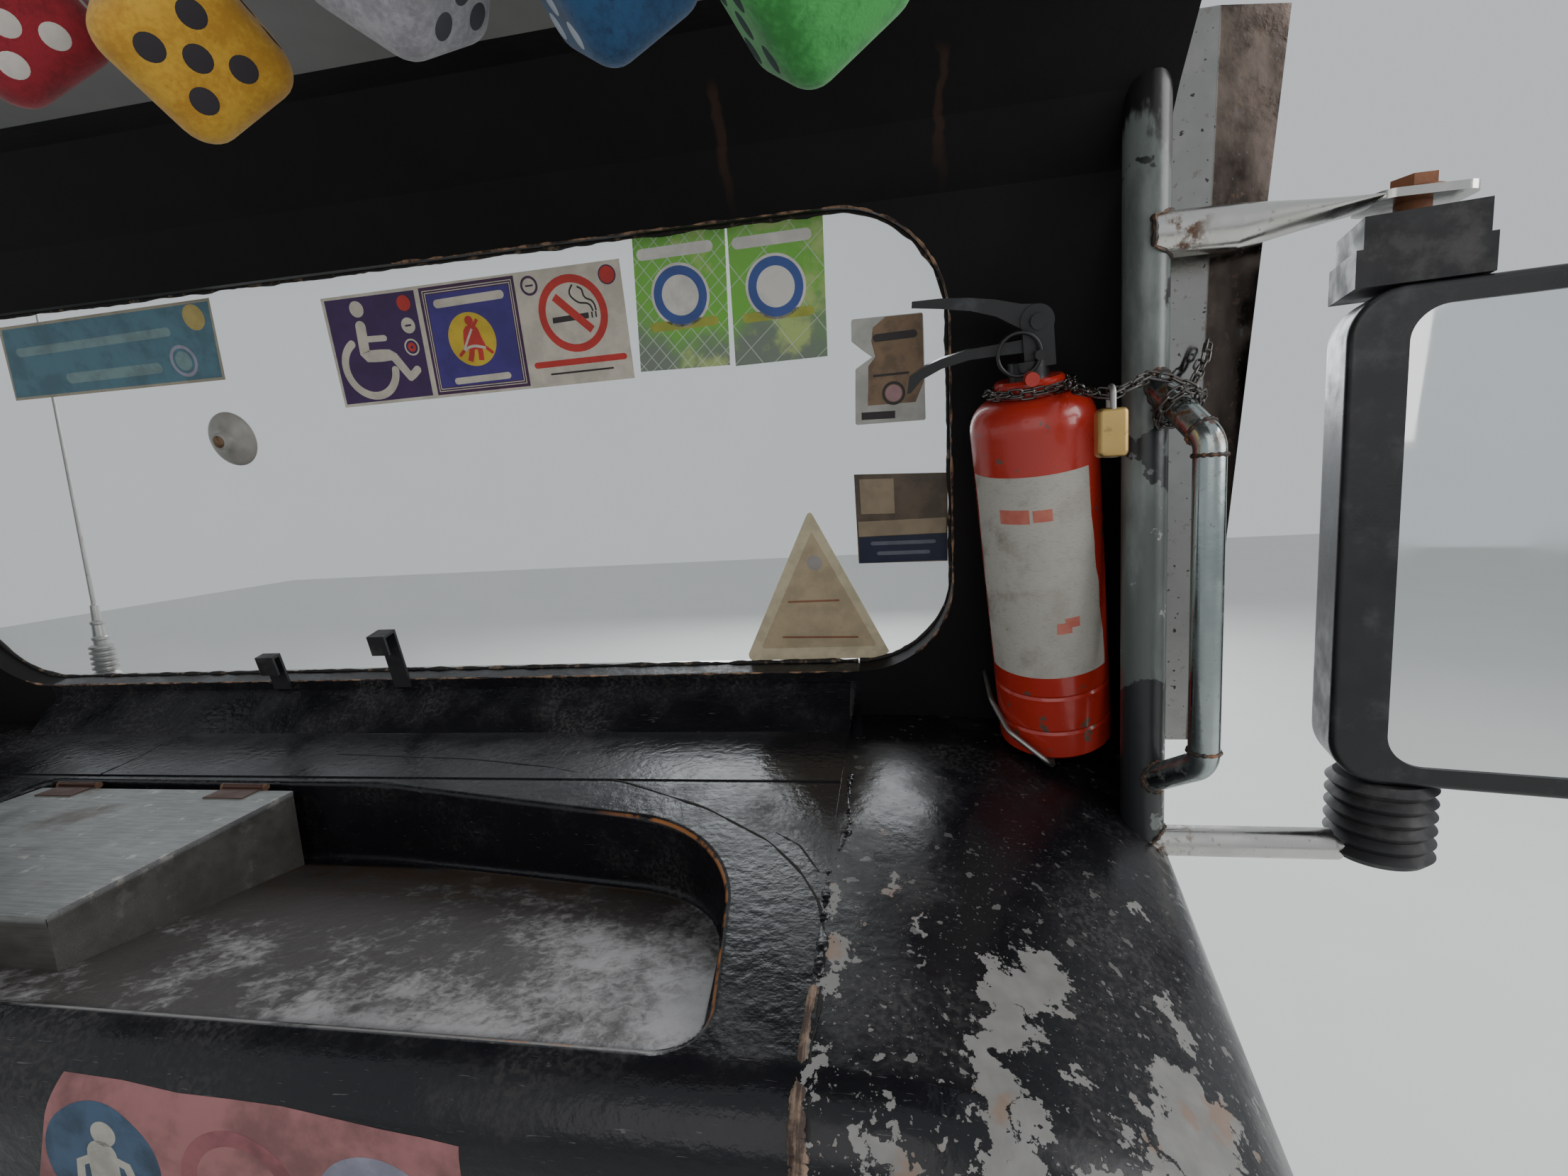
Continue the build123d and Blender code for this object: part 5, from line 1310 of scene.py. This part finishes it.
def round_path(start, toward, radius):
    """Points, outward directions and axis of a circle round an arm, in metres from millimetres."""
    toward = unit(np.array(toward))
    u = unit(np.cross(toward, (0.31, 0.24, 0.92)))
    out = ring(u, np.cross(toward, u), angles(56))
    return np.array(start) / 1000 + radius / 1000 * out, out, toward


def lumpy_ring(path, out, along, thick, seed, side):
    """A bead along a closed path on one side, whose thickness swells 13 times on the way round."""
    shake = np.random.default_rng(seed).normal(0, 0.10, len(path))
    lumps = thick / 1000 * (1 + 0.22 * np.sin(13 * angles(len(path)) + seed) + shake)
    bead_grid = path[:, None] + lumps[:, None, None] * ring(out[:, None], along, angles(8))
    return bead_grid * (side, 1, 1), True, True


def to_pillar(p, toward):
    """The points moved along the arm to their first touch on the pillar."""
    away = p[:, :2] - pillar_centre
    square, half_b = toward[:2] @ toward[:2], away @ toward[:2]
    left_over = half_b**2 - square * ((away**2).sum(axis=1) - pillar_radius**2)
    t = (-half_b - np.sqrt(np.maximum(left_over, 0))) / square
    return p + t[:, None] * toward


weld_brown = cloudy("weld_brown", (0.06, 0.035, 0.024), 0.6, (120.0, 5.0, 0.65),
                    ((0.030, 0.021, 0.017), (0.20, 0.085, 0.035)), (0.50, 0.66), (260.0, 0.0004, 0.6))
pillar_welds = [
    # a point of the arm's axis, its direction, the arm's radius and the bead's, in millimetres
    ((840, -235, 1133), (-1, 0, 0), 16.0, 2.4), ((840, -235, 646), (-1, 0, 0), 12.0, 2.2),
    ((807, -285, 977), (-27, 55, 57), 10.6, 2.4), ((807, -285, 734), (-27, 55, -38), 10.6, 2.4),
]
bend_radius, bend_bead = 10.9, 1.6
bend_welds = [
    ((803.8, -278.4, 983.8), (-27, 55, 57)), ((807, -285, 966), (0, 0, 1)), ((807, -285, 744), (0, 0, 1)),
]
for word, side in (("right", 1), ("left", -1)):
    rings = []
    for number, (start, toward, radius, thick) in enumerate(pillar_welds):
        path, out, toward = round_path(start, toward, radius)
        rings.append(lumpy_ring(to_pillar(path, toward), out, toward, thick, number, side))
    for number, (start, toward) in enumerate(bend_welds):
        rings.append(lumpy_ring(*round_path(start, toward, bend_radius), bend_bead, number + 9, side))
    piece(f"weld_rings_{word}", rings, weld_brown)
